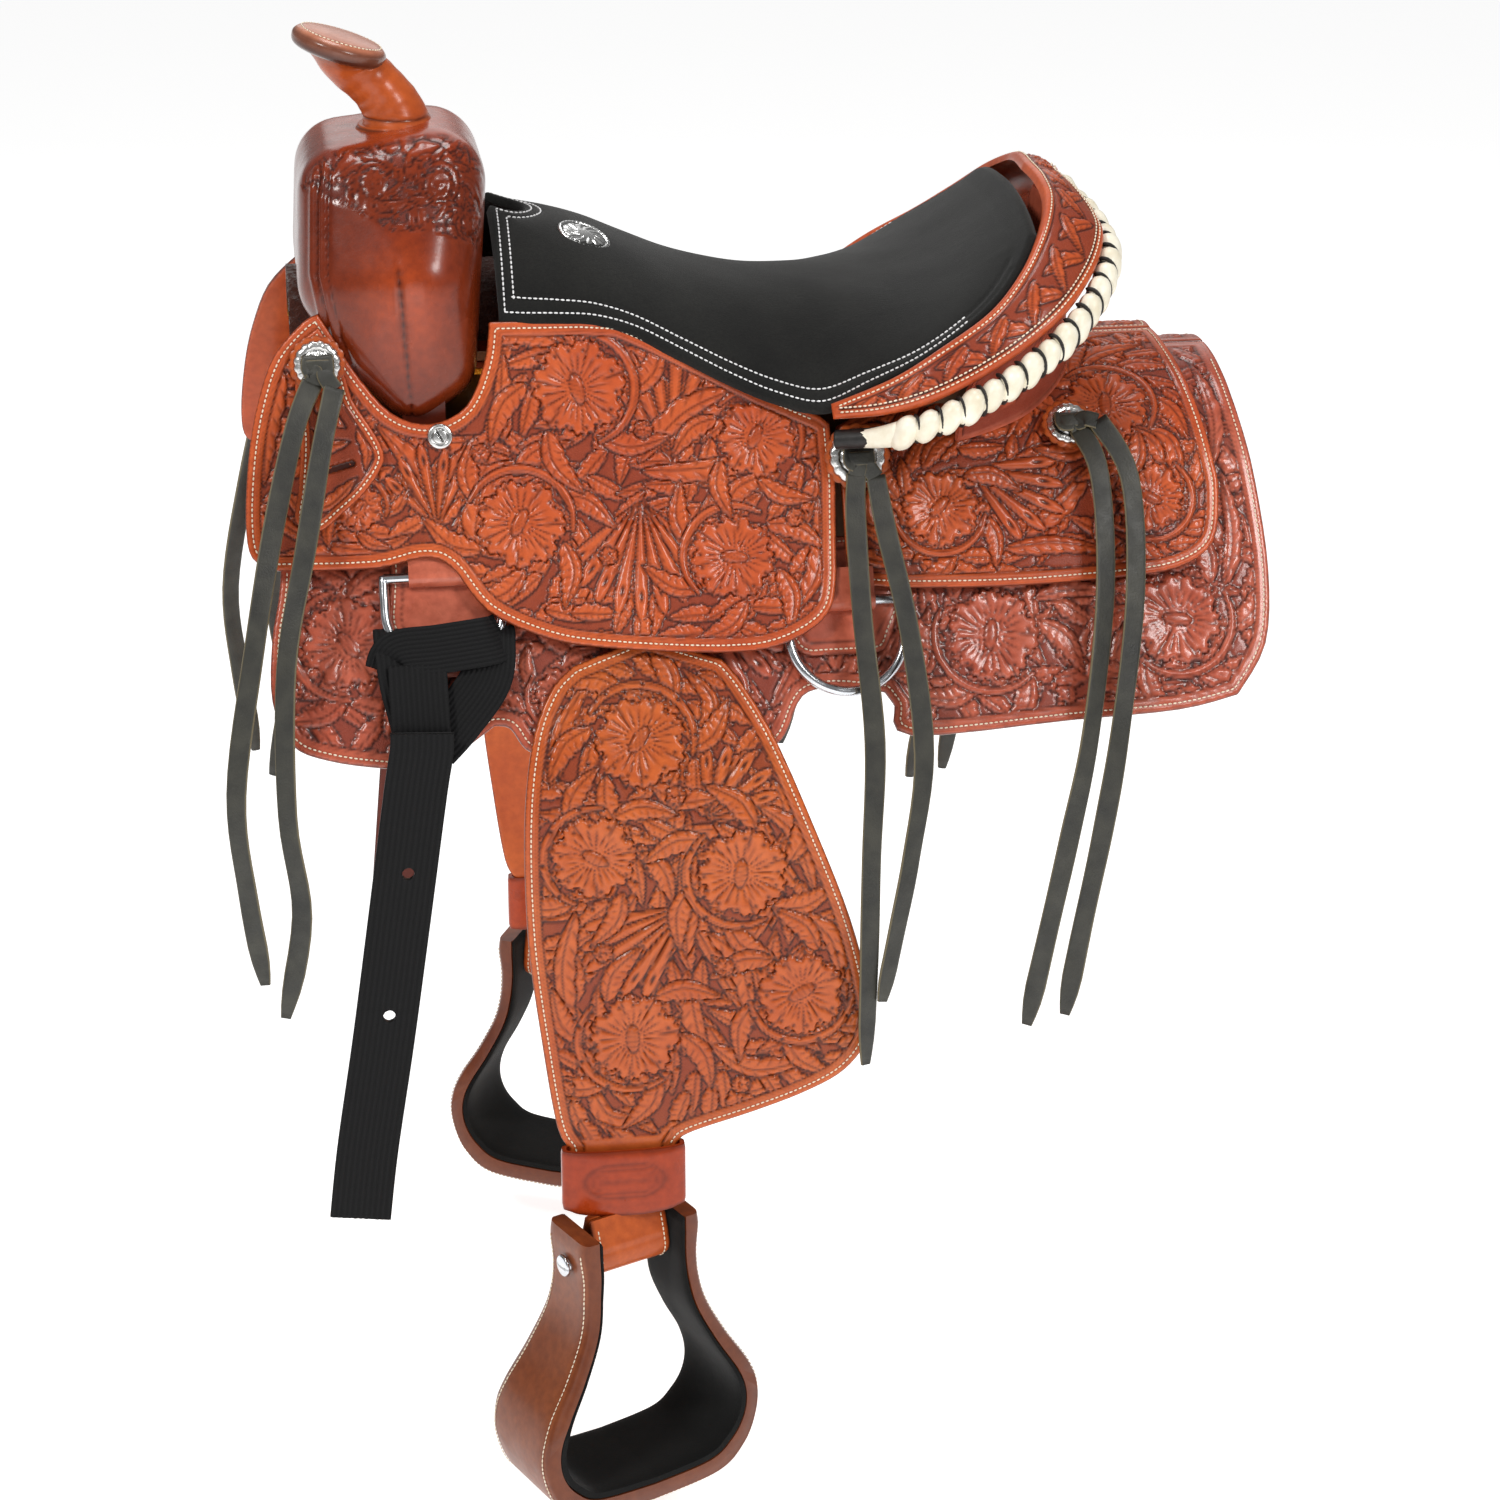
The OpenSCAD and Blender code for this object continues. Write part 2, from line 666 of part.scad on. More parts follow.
tree_bars();
tree_fork();
tree_cantle();
ground_seat();
horn_post();
horn_wrap();
horn_cap();
swell_cover();
gullet_pad();
seat_cover();
seat_badge();
cantle_roll();
cantle_back();
cantle_lacing();
seat_jockey_left();
right_side() seat_jockey_left();  // seat_jockey_right
rear_jockey_left();
right_side() rear_jockey_left();  // rear_jockey_right
skirt_left();
right_side() skirt_left();  // skirt_right
fleece_left();
right_side() fleece_left();  // fleece_right
rigging_plates();
latigo_keeper();
conchos();
jockey_screws();
front_dee_left();
right_side() front_dee_left();  // front_dee_right
rear_dee_left();
right_side() rear_dee_left();  // rear_dee_right
latigo_knot();
latigo();
off_billet_knot();
off_billet();
string(front_a);  // string_front_left_a
string(front_b);  // string_front_left_b
string(mid_a);  // string_mid_left_a
string(mid_b);  // string_mid_left_b
string(rear_a);  // string_rear_left_a
string(rear_b);  // string_rear_left_b
right_side() string(front_a);  // string_front_right_a
right_side() string(front_b);  // string_front_right_b
right_side() string(mid_a);  // string_mid_right_a
right_side() string(mid_b);  // string_mid_right_b
right_side() string(rear_a);  // string_rear_right_a
right_side() string(rear_b);  // string_rear_right_b
fender_top_left();
fender_left();
hobble_left();
stirrup_leather_left();
stirrup_left();
stirrup_lining_left();
stirrup_bolt_left();
right_side() fender_top_left();  // fender_top_right
right_side() fender_left();  // fender_right
right_side() hobble_left();  // hobble_right
right_side() stirrup_leather_left();  // stirrup_leather_right
right_side() stirrup_left();  // stirrup_right
right_side() stirrup_lining_left();  // stirrup_lining_right
right_side() stirrup_bolt_left();  // stirrup_bolt_right
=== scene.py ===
"""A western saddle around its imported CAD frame.

Meshes are laid out in mm and scaled to metres where they are made. The near side has negative y, and
the off side is its mirror.
"""
import json
import math

import bmesh
import bpy
import numpy as np
from mathutils import Vector
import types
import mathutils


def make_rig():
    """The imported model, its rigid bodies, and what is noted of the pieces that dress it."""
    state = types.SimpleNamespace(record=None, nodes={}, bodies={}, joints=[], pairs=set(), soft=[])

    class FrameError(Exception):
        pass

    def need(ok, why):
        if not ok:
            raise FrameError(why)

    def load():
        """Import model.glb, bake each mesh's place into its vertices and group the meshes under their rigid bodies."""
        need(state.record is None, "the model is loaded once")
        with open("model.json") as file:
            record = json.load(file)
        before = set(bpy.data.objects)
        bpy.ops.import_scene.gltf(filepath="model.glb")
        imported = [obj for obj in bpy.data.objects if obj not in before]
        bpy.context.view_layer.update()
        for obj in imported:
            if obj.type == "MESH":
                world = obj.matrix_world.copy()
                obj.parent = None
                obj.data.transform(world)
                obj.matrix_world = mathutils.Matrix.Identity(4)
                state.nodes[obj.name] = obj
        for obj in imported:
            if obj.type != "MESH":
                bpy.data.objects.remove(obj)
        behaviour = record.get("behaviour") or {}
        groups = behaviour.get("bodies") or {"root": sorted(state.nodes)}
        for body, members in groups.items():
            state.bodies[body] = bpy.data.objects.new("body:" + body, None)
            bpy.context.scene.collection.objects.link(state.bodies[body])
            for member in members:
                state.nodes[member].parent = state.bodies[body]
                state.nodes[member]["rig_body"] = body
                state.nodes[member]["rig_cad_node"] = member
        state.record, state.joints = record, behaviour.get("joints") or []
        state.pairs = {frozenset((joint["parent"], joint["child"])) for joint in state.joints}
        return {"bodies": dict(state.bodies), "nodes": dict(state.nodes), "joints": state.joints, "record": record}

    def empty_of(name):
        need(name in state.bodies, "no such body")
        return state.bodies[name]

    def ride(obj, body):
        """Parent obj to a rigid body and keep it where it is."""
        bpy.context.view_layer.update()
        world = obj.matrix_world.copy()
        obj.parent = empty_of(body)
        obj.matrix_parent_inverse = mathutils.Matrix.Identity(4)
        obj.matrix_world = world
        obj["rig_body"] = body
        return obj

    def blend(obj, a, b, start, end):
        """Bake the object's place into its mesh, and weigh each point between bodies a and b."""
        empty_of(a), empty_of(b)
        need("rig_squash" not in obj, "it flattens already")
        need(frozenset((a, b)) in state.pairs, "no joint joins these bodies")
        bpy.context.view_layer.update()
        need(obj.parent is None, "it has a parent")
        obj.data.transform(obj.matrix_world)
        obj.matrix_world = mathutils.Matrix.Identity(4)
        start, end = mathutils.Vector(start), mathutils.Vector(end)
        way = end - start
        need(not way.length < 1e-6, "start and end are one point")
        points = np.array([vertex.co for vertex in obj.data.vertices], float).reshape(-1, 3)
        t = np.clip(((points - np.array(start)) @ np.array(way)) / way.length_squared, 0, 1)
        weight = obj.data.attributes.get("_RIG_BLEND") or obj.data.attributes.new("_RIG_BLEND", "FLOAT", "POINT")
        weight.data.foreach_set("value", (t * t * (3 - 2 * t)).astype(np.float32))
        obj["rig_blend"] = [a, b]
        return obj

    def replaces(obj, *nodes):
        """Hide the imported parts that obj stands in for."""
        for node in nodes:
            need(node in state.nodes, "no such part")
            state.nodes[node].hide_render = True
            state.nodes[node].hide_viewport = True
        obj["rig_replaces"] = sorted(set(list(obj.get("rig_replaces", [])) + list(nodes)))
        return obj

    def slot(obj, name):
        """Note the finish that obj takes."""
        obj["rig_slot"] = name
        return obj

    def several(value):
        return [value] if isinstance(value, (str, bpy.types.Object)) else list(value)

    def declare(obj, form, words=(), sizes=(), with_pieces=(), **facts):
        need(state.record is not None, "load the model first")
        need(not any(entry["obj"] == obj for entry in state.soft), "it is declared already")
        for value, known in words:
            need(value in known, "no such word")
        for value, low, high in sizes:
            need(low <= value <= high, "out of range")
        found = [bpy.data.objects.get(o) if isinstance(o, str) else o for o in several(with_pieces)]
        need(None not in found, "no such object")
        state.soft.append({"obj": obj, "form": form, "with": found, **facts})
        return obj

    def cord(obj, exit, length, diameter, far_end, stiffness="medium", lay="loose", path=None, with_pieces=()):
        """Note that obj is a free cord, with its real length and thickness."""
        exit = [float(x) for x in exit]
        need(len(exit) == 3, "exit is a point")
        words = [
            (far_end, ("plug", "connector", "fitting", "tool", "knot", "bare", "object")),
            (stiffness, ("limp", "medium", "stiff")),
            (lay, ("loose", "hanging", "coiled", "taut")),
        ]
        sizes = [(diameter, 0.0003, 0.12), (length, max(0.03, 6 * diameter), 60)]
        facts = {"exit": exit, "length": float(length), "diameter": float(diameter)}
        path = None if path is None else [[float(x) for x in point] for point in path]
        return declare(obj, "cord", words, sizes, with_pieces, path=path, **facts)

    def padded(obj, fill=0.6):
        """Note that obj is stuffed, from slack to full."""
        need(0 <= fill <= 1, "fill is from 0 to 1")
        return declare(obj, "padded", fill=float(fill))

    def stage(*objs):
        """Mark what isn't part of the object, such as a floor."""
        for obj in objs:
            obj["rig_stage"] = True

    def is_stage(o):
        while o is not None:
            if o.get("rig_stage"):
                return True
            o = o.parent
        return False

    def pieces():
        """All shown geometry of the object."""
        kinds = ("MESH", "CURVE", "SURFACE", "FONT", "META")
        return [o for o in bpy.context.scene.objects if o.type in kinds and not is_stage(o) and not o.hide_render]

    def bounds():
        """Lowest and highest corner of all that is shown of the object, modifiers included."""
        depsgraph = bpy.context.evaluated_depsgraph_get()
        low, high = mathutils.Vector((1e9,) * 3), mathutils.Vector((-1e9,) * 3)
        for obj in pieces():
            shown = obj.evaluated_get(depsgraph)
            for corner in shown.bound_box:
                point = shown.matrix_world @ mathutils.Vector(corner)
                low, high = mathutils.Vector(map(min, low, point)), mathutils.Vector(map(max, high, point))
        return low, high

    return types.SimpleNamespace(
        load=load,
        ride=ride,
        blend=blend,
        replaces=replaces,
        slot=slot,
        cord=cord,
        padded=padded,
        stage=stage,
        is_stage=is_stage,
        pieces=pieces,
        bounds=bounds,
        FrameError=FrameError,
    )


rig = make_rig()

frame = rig.load()
cad_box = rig.bounds()
SIDES = (("left", 1), ("right", -1))
TAU = 2 * math.pi


# ------------------------------------------------------------ camera and light

def lin(r, g, b):
    """An sRGB colour in 0 to 255, as linear RGBA."""
    f = lambda c: c / 12.92 if c <= 0.04045 else ((c + 0.055) / 1.055) ** 2.4
    return (f(r / 255), f(g / 255), f(b / 255), 1)


def aim(obj, target):
    obj.rotation_euler = (Vector(target) - obj.location).to_track_quat("-Z", "Y").to_euler()


def studio():
    """The camera at the photograph's place, soft lamps and a white world."""
    scene = bpy.context.scene
    cam = bpy.data.objects.new("camera", bpy.data.cameras.new("camera"))
    scene.collection.objects.link(cam)
    cam.data.lens = 88.0
    cam.data.sensor_width = 36
    cam.data.clip_end = 100
    cam.location = (-0.310, -2.404, 0.701)
    aim(cam, (0, -0.200, -0.1983))
    scene.camera = cam
    for name, at, size, power, tone in (
            ("key", (-1.7, -1.7, 2.2), 0.55, 38, (1, 0.985, 0.96)),
            ("fill", (1.5, -2.3, 1.9), 0.7, 38, (1, 0.99, 0.98)),
            ("top", (0.1, 0.3, 2.6), 0.9, 26, (1, 1, 1)),
            ("low", (-0.5, -2.6, -0.2), 1.2, 5, (1, 0.98, 0.97)),
            ("back", (0.3, 2.6, 1.6), 2.2, 14, (1, 1, 1))):
        light = bpy.data.objects.new(name, bpy.data.lights.new(name, "AREA"))
        light.data.energy = power
        light.data.size = size
        light.data.color = tone
        light.location = at
        scene.collection.objects.link(light)
        aim(light, (0, 0, -0.2))
    world = bpy.data.worlds.new("studio")
    world.use_nodes = True
    world.node_tree.nodes["Background"].inputs["Color"].default_value = (1, 1, 1, 1)
    world.node_tree.nodes["Background"].inputs["Strength"].default_value = 0.22
    scene.world = world
    scene.view_settings.view_transform = "Standard"


# ------------------------------------------------------------ materials

class Nodes:
    """A material's node tree with short calls for the few nodes used here."""

    def __init__(self, name, rough=0.5, coat=0.0, coat_rough=0.2, sheen=0.0, metal=0.0, spec=0.5):
        self.m = bpy.data.materials.new(name)
        self.m.use_nodes = True
        self.t = self.m.node_tree
        self.p = self.t.nodes["Principled BSDF"]
        self.p.inputs["Roughness"].default_value = rough
        self.p.inputs["Coat Weight"].default_value = coat
        self.p.inputs["Coat Roughness"].default_value = coat_rough
        self.p.inputs["Sheen Weight"].default_value = sheen
        self.p.inputs["Metallic"].default_value = metal
        self.p.inputs["Specular IOR Level"].default_value = spec
        self.co = self.t.nodes.new("ShaderNodeTexCoord").outputs["Object"]

    def put(self, socket, value):
        if hasattr(value, "links"):
            self.t.links.new(value, socket)
        else:
            socket.default_value = value

    def noise(self, scale, detail=3.0, rough=0.55):
        n = self.t.nodes.new("ShaderNodeTexNoise")
        n.inputs["Scale"].default_value = scale
        n.inputs["Detail"].default_value = detail
        n.inputs["Roughness"].default_value = rough
        self.t.links.new(self.co, n.inputs["Vector"])
        return n.outputs["Fac"]

    def cells(self, scale, feature="DISTANCE_TO_EDGE"):
        n = self.t.nodes.new("ShaderNodeTexVoronoi")
        n.feature = feature
        n.inputs["Scale"].default_value = scale
        self.t.links.new(self.co, n.inputs["Vector"])
        return n.outputs["Distance"]

    def attr(self, name):
        n = self.t.nodes.new("ShaderNodeAttribute")
        n.attribute_name = name
        return n.outputs["Fac"]

    def calc(self, op, a, b=0.0, clamp=False):
        n = self.t.nodes.new("ShaderNodeMath")
        n.operation = op
        n.use_clamp = clamp
        self.put(n.inputs[0], a)
        self.put(n.inputs[1], b)
        return n.outputs[0]

    def span(self, value, a0, a1, b0, b1):
        n = self.t.nodes.new("ShaderNodeMapRange")
        self.put(n.inputs["Value"], value)
        for key, v in (("From Min", a0), ("From Max", a1), ("To Min", b0), ("To Max", b1)):
            n.inputs[key].default_value = v
        return n.outputs["Result"]

    def mix(self, fac, a, b):
        n = self.t.nodes.new("ShaderNodeMix")
        n.data_type = "RGBA"
        self.put(n.inputs["Factor"], fac)
        self.put(n.inputs[6], a)
        self.put(n.inputs[7], b)
        return n.outputs[2]

    def color(self, value):
        self.put(self.p.inputs["Base Color"], value)

    def rough(self, value):
        self.put(self.p.inputs["Roughness"], value)

    def bump(self, height, strength, distance=0.001):
        n = self.t.nodes.new("ShaderNodeBump")
        n.inputs["Strength"].default_value = strength
        n.inputs["Distance"].default_value = distance
        self.put(n.inputs["Height"], height)
        if self.p.inputs["Normal"].links:
            self.t.links.new(self.p.inputs["Normal"].links[0].from_socket, n.inputs["Normal"])
        self.t.links.new(n.outputs["Normal"], self.p.inputs["Normal"])


def leather_material(name, light, mid, dark, rough, coat):
    """Carved leather: bg is the matted ground, cut the dark lines and, on the swell and the horn cap, painted shade,
    edge the burnished rim.
    """
    n = Nodes(name, rough, coat=coat, coat_rough=0.2, spec=0.22)
    cloud = n.span(n.noise(9, 4), 0.3, 0.7, 0, 1)
    fine = n.noise(160, 3)
    c = n.mix(cloud, light, mid)
    c = n.mix(n.span(fine, 0.35, 0.7, 0.0, 0.35), c, dark)
    c = n.mix(n.calc("MULTIPLY", n.attr("bg"), 0.70, True), c, lin(112, 38, 22))
    c = n.mix(n.calc("MULTIPLY", n.attr("cut"), 0.95, True), c, lin(44, 9, 4))
    c = n.mix(n.calc("MULTIPLY", n.attr("edge"), 0.75, True), c, lin(66, 22, 11))
    n.color(c)
    r = n.span(n.noise(45, 3), 0.3, 0.7, rough - 0.06, rough + 0.1)
    n.rough(n.calc("ADD", r, n.calc("MULTIPLY", n.attr("bg"), 0.2), True))
    n.bump(n.cells(650), 0.10, 0.0006)
    n.bump(n.calc("MULTIPLY", n.noise(900, 2), n.attr("bg")), 0.5, 0.0012)
    n.bump(n.noise(60, 4), 0.10, 0.002)
    return n.m


def suede_material(name, a, b, strength=0.5, sheen=0.35):
    n = Nodes(name, 0.92, sheen=sheen, spec=0.1)
    n.p.inputs["Sheen Roughness"].default_value = 0.5
    c = n.mix(n.span(n.noise(14, 4), 0.35, 0.68, 0, 1), a, b)
    c = n.mix(n.span(n.noise(520, 2), 0.3, 0.75, 0, 0.5), c, lin(18, 18, 19))
    n.color(c)
    n.bump(n.noise(1300, 2), strength, 0.0006)
    n.bump(n.noise(70, 4), 0.12, 0.002)
    return n.m


def metal_material(name, tone, rough, bumpy=0.05, dark=(0.05, 0.05, 0.05, 1)):
    n = Nodes(name, rough, metal=1.0)
    c = n.mix(n.span(n.noise(55, 4), 0.35, 0.7, 0, 0.25), tone, lin(150, 150, 152))
    n.color(n.mix(n.calc("MULTIPLY", n.attr("cut"), 0.8, True), c, dark))
    n.rough(n.span(n.noise(90, 4), 0.3, 0.7, rough - 0.06, rough + 0.12))
    n.bump(n.noise(400, 3), bumpy, 0.0005)
    return n.m


def plain_material(name, a, b, rough, scale=60, bump=0.2, fine=900, spec=0.5, coat=0.0):
    n = Nodes(name, rough, spec=spec, coat=coat)
    c = n.mix(n.span(n.noise(scale, 4), 0.3, 0.7, 0, 1), a, b)
    # cut darkens stamped lines and seams; on the horn neck it also carries painted shade under the cap.
    c = n.mix(n.calc("MULTIPLY", n.attr("cut"), 0.85, True), c, lin(30, 22, 18))
    c = n.mix(n.calc("MULTIPLY", n.attr("edge"), 0.8, True), c, lin(120, 108, 78))
    n.color(c)
    n.rough(n.span(n.noise(scale * 1.7, 3), 0.3, 0.7, rough - 0.08, rough + 0.08))
    n.bump(n.noise(fine, 3), bump, 0.0008)
    return n.m


def fleece_material(name):
    n = Nodes(name, 0.95, sheen=0.6, spec=0.2)
    c = n.mix(n.span(n.noise(120, 4), 0.3, 0.7, 0, 1), lin(244, 184, 40), lin(204, 136, 22))
    c = n.mix(n.span(n.noise(700, 2), 0.4, 0.7, 0, 0.5), c, lin(150, 92, 14))
    # The edge attribute paints shade: dark brown on the gullet lining's outer side and ends.
    n.color(n.mix(n.attr("edge"), c, lin(70, 30, 16)))
    n.bump(n.noise(420, 4), 0.9, 0.002)
    n.bump(n.cells(160, "F1"), 0.7, 0.003)
    return n.m


def nylon_material(name):
    """Ribbed black webbing; the rib attribute is high on top of a rib, where its colour is a painted highlight, with
    painted shade between the ribs.
    """
    n = Nodes(name, 0.6, sheen=0.04, spec=0.15)
    rib = n.attr("rib")
    # Painted highlight on the rib tops, painted shade in the grooves.
    c = n.mix(rib, lin(4, 4, 5), lin(26, 26, 27))
    n.color(n.mix(n.span(n.noise(700, 2), 0.4, 0.7, 0, 0.4), c, lin(15, 15, 16)))
    n.bump(n.noise(1100, 2), 0.35, 0.0005)
    return n.m


M = {}  # the materials, by short name

# key, material name, light, middle and dark tone (sRGB, 0 to 255), roughness, coat
LEATHERS = (
    ("tooled", "leather_tooled", (208, 98, 50), (186, 76, 36), (136, 46, 20), 0.34, 0.38),
    ("fender", "leather_fender", (206, 104, 48), (186, 82, 32), (140, 50, 18), 0.36, 0.34),
    ("dark_tooled", "leather_tooled_skirt", (206, 112, 86), (178, 80, 56), (124, 44, 28), 0.27, 0.5),
    ("swell", "leather_swell", (180, 74, 30), (142, 48, 18), (84, 24, 9), 0.25, 0.5),
    ("plain", "leather_plain", (200, 98, 44), (176, 76, 30), (130, 48, 18), 0.32, 0.25),
    ("stirrup", "leather_stirrup", (140, 74, 38), (112, 52, 26), (76, 30, 15), 0.36, 0.25),
    ("hobble", "leather_red", (178, 66, 20), (150, 48, 14), (104, 30, 9), 0.3, 0.25),
    ("dark", "leather_dark", (104, 38, 20), (78, 26, 14), (50, 15, 9), 0.4, 0.2),
    ("cap", "leather_cap", (206, 138, 108), (176, 104, 76), (132, 66, 44), 0.3, 0.5),
)


def make_materials():
    for key, name, light, mid, dark, rough, coat in LEATHERS:
        M[key] = leather_material(name, lin(*light), lin(*mid), lin(*dark), rough, coat)
    M["suede"] = suede_material("suede_black", lin(37, 37, 35), lin(25, 25, 24), sheen=0.16)
    M["lining"] = suede_material("suede_lining", lin(22, 22, 21), lin(12, 12, 12), sheen=0.1)
    M["string"] = plain_material("string_leather", lin(58, 57, 49), lin(34, 34, 30), 0.5, 50, 0.3, 700)
    M["rawhide"] = plain_material("rawhide", lin(248, 243, 226), lin(228, 218, 192), 0.42, 90, 0.12, 300,
                                  coat=0.2)
    M["thread"] = plain_material("thread", lin(250, 240, 220), lin(226, 204, 172), 0.6, 400, 0.3, 3000)
    M["white_thread"] = plain_material("white_thread", lin(250, 250, 250), lin(220, 220, 222), 0.6, 400,
                                       0.3, 3000)
    M["lace"] = plain_material("lace", lin(30, 26, 24), lin(16, 14, 13), 0.5, 200, 0.2)
    M["steel"] = metal_material("steel", lin(214, 217, 222), 0.16)
    M["silver"] = metal_material("silver", lin(228, 228, 226), 0.24, 0.1, lin(60, 58, 54))
    M["nylon"] = nylon_material("nylon_webbing")
    M["fleece"] = fleece_material("fleece_gold")
    M["wood"] = plain_material("tree_wood", lin(112, 72, 42), lin(84, 52, 30), 0.7, 30, 0.3, 200)


# ------------------------------------------------------------ mesh helpers

def build(name, body, mat, verts, faces, attrs=None, slot=None, side=1, sharp=None, smooth=True):
    """A mesh object from arrays in mm; faces is a list of index arrays with 3 or 4 columns."""
    v = np.asarray(verts, float) * (0.001, 0.001 * side, 0.001)
    faces = [np.asarray(f, np.int32) for f in faces if len(f)]
    if side < 0:
        faces = [f[:, ::-1] for f in faces]
    me = bpy.data.meshes.new(name)
    me.vertices.add(len(v))
    me.vertices.foreach_set("co", v.astype(np.float32).ravel())
    loops = np.concatenate([f.ravel() for f in faces])
    sizes = np.concatenate([np.full(len(f), f.shape[1], np.int32) for f in faces])
    me.loops.add(len(loops))
    me.loops.foreach_set("vertex_index", loops)
    me.polygons.add(len(sizes))
    me.polygons.foreach_set("loop_start", np.concatenate([[0], np.cumsum(sizes)[:-1]]).astype(np.int32))
    me.update(calc_edges=True)
    me.validate()
    me.polygons.foreach_set("use_smooth", np.full(len(me.polygons), smooth))
    for key, value in (attrs or {}).items():
        a = me.attributes.new(key, "FLOAT", "POINT")
        a.data.foreach_set("value", np.asarray(value, np.float32))
    if sharp:
        me.set_sharp_from_angle(angle=math.radians(sharp))
    me.materials.append(mat)
    o = bpy.data.objects.new(name, me)
    bpy.context.scene.collection.objects.link(o)
    if body:
        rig.ride(o, body)
    if slot:
        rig.slot(o, slot)
    return o


def join(parts):
    """Joins (verts, [faces], attrs) parts into one set of arrays."""
    vs, fs, at, n = [], [], {}, 0
    for v, f, *a in parts:
        v = np.asarray(v, float)
        vs.append(v)
        fs += [np.asarray(q, np.int32) + n for q in f]
        n += len(v)
        for key, value in (a[0] if a else {}).items():
            at.setdefault(key, []).append((n - len(v), np.asarray(value, float)))
    out = {}
    for key, rows in at.items():
        full = np.zeros(n)
        for i, value in rows:
            full[i:i + len(value)] = value
        out[key] = full
    return np.concatenate(vs), fs, out


def smooth(p, n, closed=False):
    """Catmull-Rom curve through points, n steps in each stretch."""
    p = np.asarray(p, float)
    m = len(p)
    ids = range(m if closed else m - 1)
    out = []
    for i in ids:
        a, b, c, d = (p[(i + k) % m] if closed else p[min(max(i + k, 0), m - 1)] for k in (-1, 0, 1, 2))
        t = np.arange(n)[:, None] / n
        out.append(0.5 * (2 * b + (c - a) * t + (2 * a - 5 * b + 4 * c - d) * t ** 2
                          + (3 * b - a - 3 * c + d) * t ** 3))
    if not closed:
        out.append(p[-1:])
    return np.concatenate(out)


def travel(p):
    """The length travelled along a path at each of its points."""
    return np.r_[0, np.cumsum(np.linalg.norm(np.diff(p, axis=0), axis=1))]


def resample(p, step, closed=False):
    """Points about a step apart along a path."""
    p = np.asarray(p, float)
    if closed:
        p = np.concatenate([p, p[:1]])
    d = travel(p)
    n = max(int(round(d[-1] / step)), 2)
    t = np.linspace(0, d[-1], n + 1)
    q = np.stack([np.interp(t, d, p[:, k]) for k in range(p.shape[1])], 1)
    return q[:-1] if closed else q


def unit(v):
    return v / np.maximum(np.linalg.norm(v, axis=-1, keepdims=True), 1e-9)


def ss(x, a=0.0, b=1.0):
    """Smoothstep from a to b."""
    t = np.clip((x - a) / (b - a), 0, 1)
    return t * t * (3 - 2 * t)


def tangents(p, closed=False):
    if closed:
        return unit(np.roll(p, -1, 0) - np.roll(p, 1, 0))
    return unit(np.gradient(p, axis=0))


def loft(rings, caps=True, closed_ring=True):
    """Quads through an array of rings (n, m, 3)."""
    rings = np.asarray(rings, float)
    n, m, _ = rings.shape
    idx = np.arange(n * m).reshape(n, m)
    a = idx[:-1] if closed_ring else idx[:-1, :-1]
    b = np.roll(idx, -1, 1)[:-1] if closed_ring else idx[:-1, 1:]
    c = np.roll(idx, -1, 1)[1:] if closed_ring else idx[1:, 1:]
    d = idx[1:] if closed_ring else idx[1:, :-1]
    quads = np.stack([a, b, c, d], -1).reshape(-1, 4)
    v = rings.reshape(-1, 3)
    faces = [quads]
    if caps:
        ends = np.array([rings[0].mean(0), rings[-1].mean(0)])
        k = n * m
        r0, r1 = idx[0], idx[-1]
        faces.append(np.concatenate([
            np.stack([np.roll(r0, -1), r0, np.full(m, k)], 1),
            np.stack([r1, np.roll(r1, -1), np.full(m, k + 1)], 1)]))
        v = np.concatenate([v, ends])
    return v, faces


def tube(path, radius, up=(0, 0, 1), sides=12, flat=1.0, closed=False, caps=True):
    """A tube along path; radius may vary; flat squeezes it along the up direction."""
    p = np.asarray(path, float)
    t = tangents(p, closed)
    up = np.broadcast_to(np.asarray(up, float), p.shape)
    b = unit(np.cross(t, up))
    n = np.cross(b, t)
    r = np.broadcast_to(np.asarray(radius, float), (len(p),))[:, None, None]
    a = np.linspace(0, TAU, sides, endpoint=False)[None, :, None]
    ring = p[:, None] + r * (np.cos(a) * b[:, None] + flat * np.sin(a) * n[:, None])
    if closed:
        ring = np.concatenate([ring, ring[:1]])
        return loft(ring, False)
    return loft(ring, caps)


_A, _B = np.meshgrid(np.linspace(0, TAU, 6, endpoint=False), np.linspace(-1, 1, 5))
_S = np.sqrt(np.clip(1 - (0.92 * _B) ** 4, 0.12, 1))
STITCH_V = np.stack([_B, _S * np.cos(_A), _S * np.sin(_A)], -1)
STITCH_F = loft(STITCH_V)


def stitches(path, normal, pitch=3.4, length=2.3, width=0.55, lift=0.15, closed=False, slant=0.0):
    """One small thread lump for each stitch along a 3-D path."""
    path, normal = np.asarray(path, float), np.asarray(normal, float)
    both = resample(np.concatenate([path, normal * 1e-3], 1), pitch, closed)
    p, n = both[:, :3], unit(both[:, 3:])
    t = tangents(p, closed)
    b = unit(np.cross(n, t))
    t = unit(t + slant * b)
    b = unit(np.cross(n, t))
    v0, f0 = STITCH_F
    v = (p[:, None] + (length / 2) * v0[None, :, :1] * t[:, None] + width * v0[None, :, 1:2] * b[:, None]
         + (width * v0[None, :, 2:] + lift) * n[:, None])
    k = len(v0)
    faces = [(f[None] + (np.arange(len(p)) * k)[:, None, None]).reshape(-1, f.shape[1]) for f in f0]
    return v.reshape(-1, 3), faces


# ------------------------------------------------------------ sheets of leather

ARCH_R = 110.0
WIDEST_GAP = 6.0
FEWEST_POINTS = 5


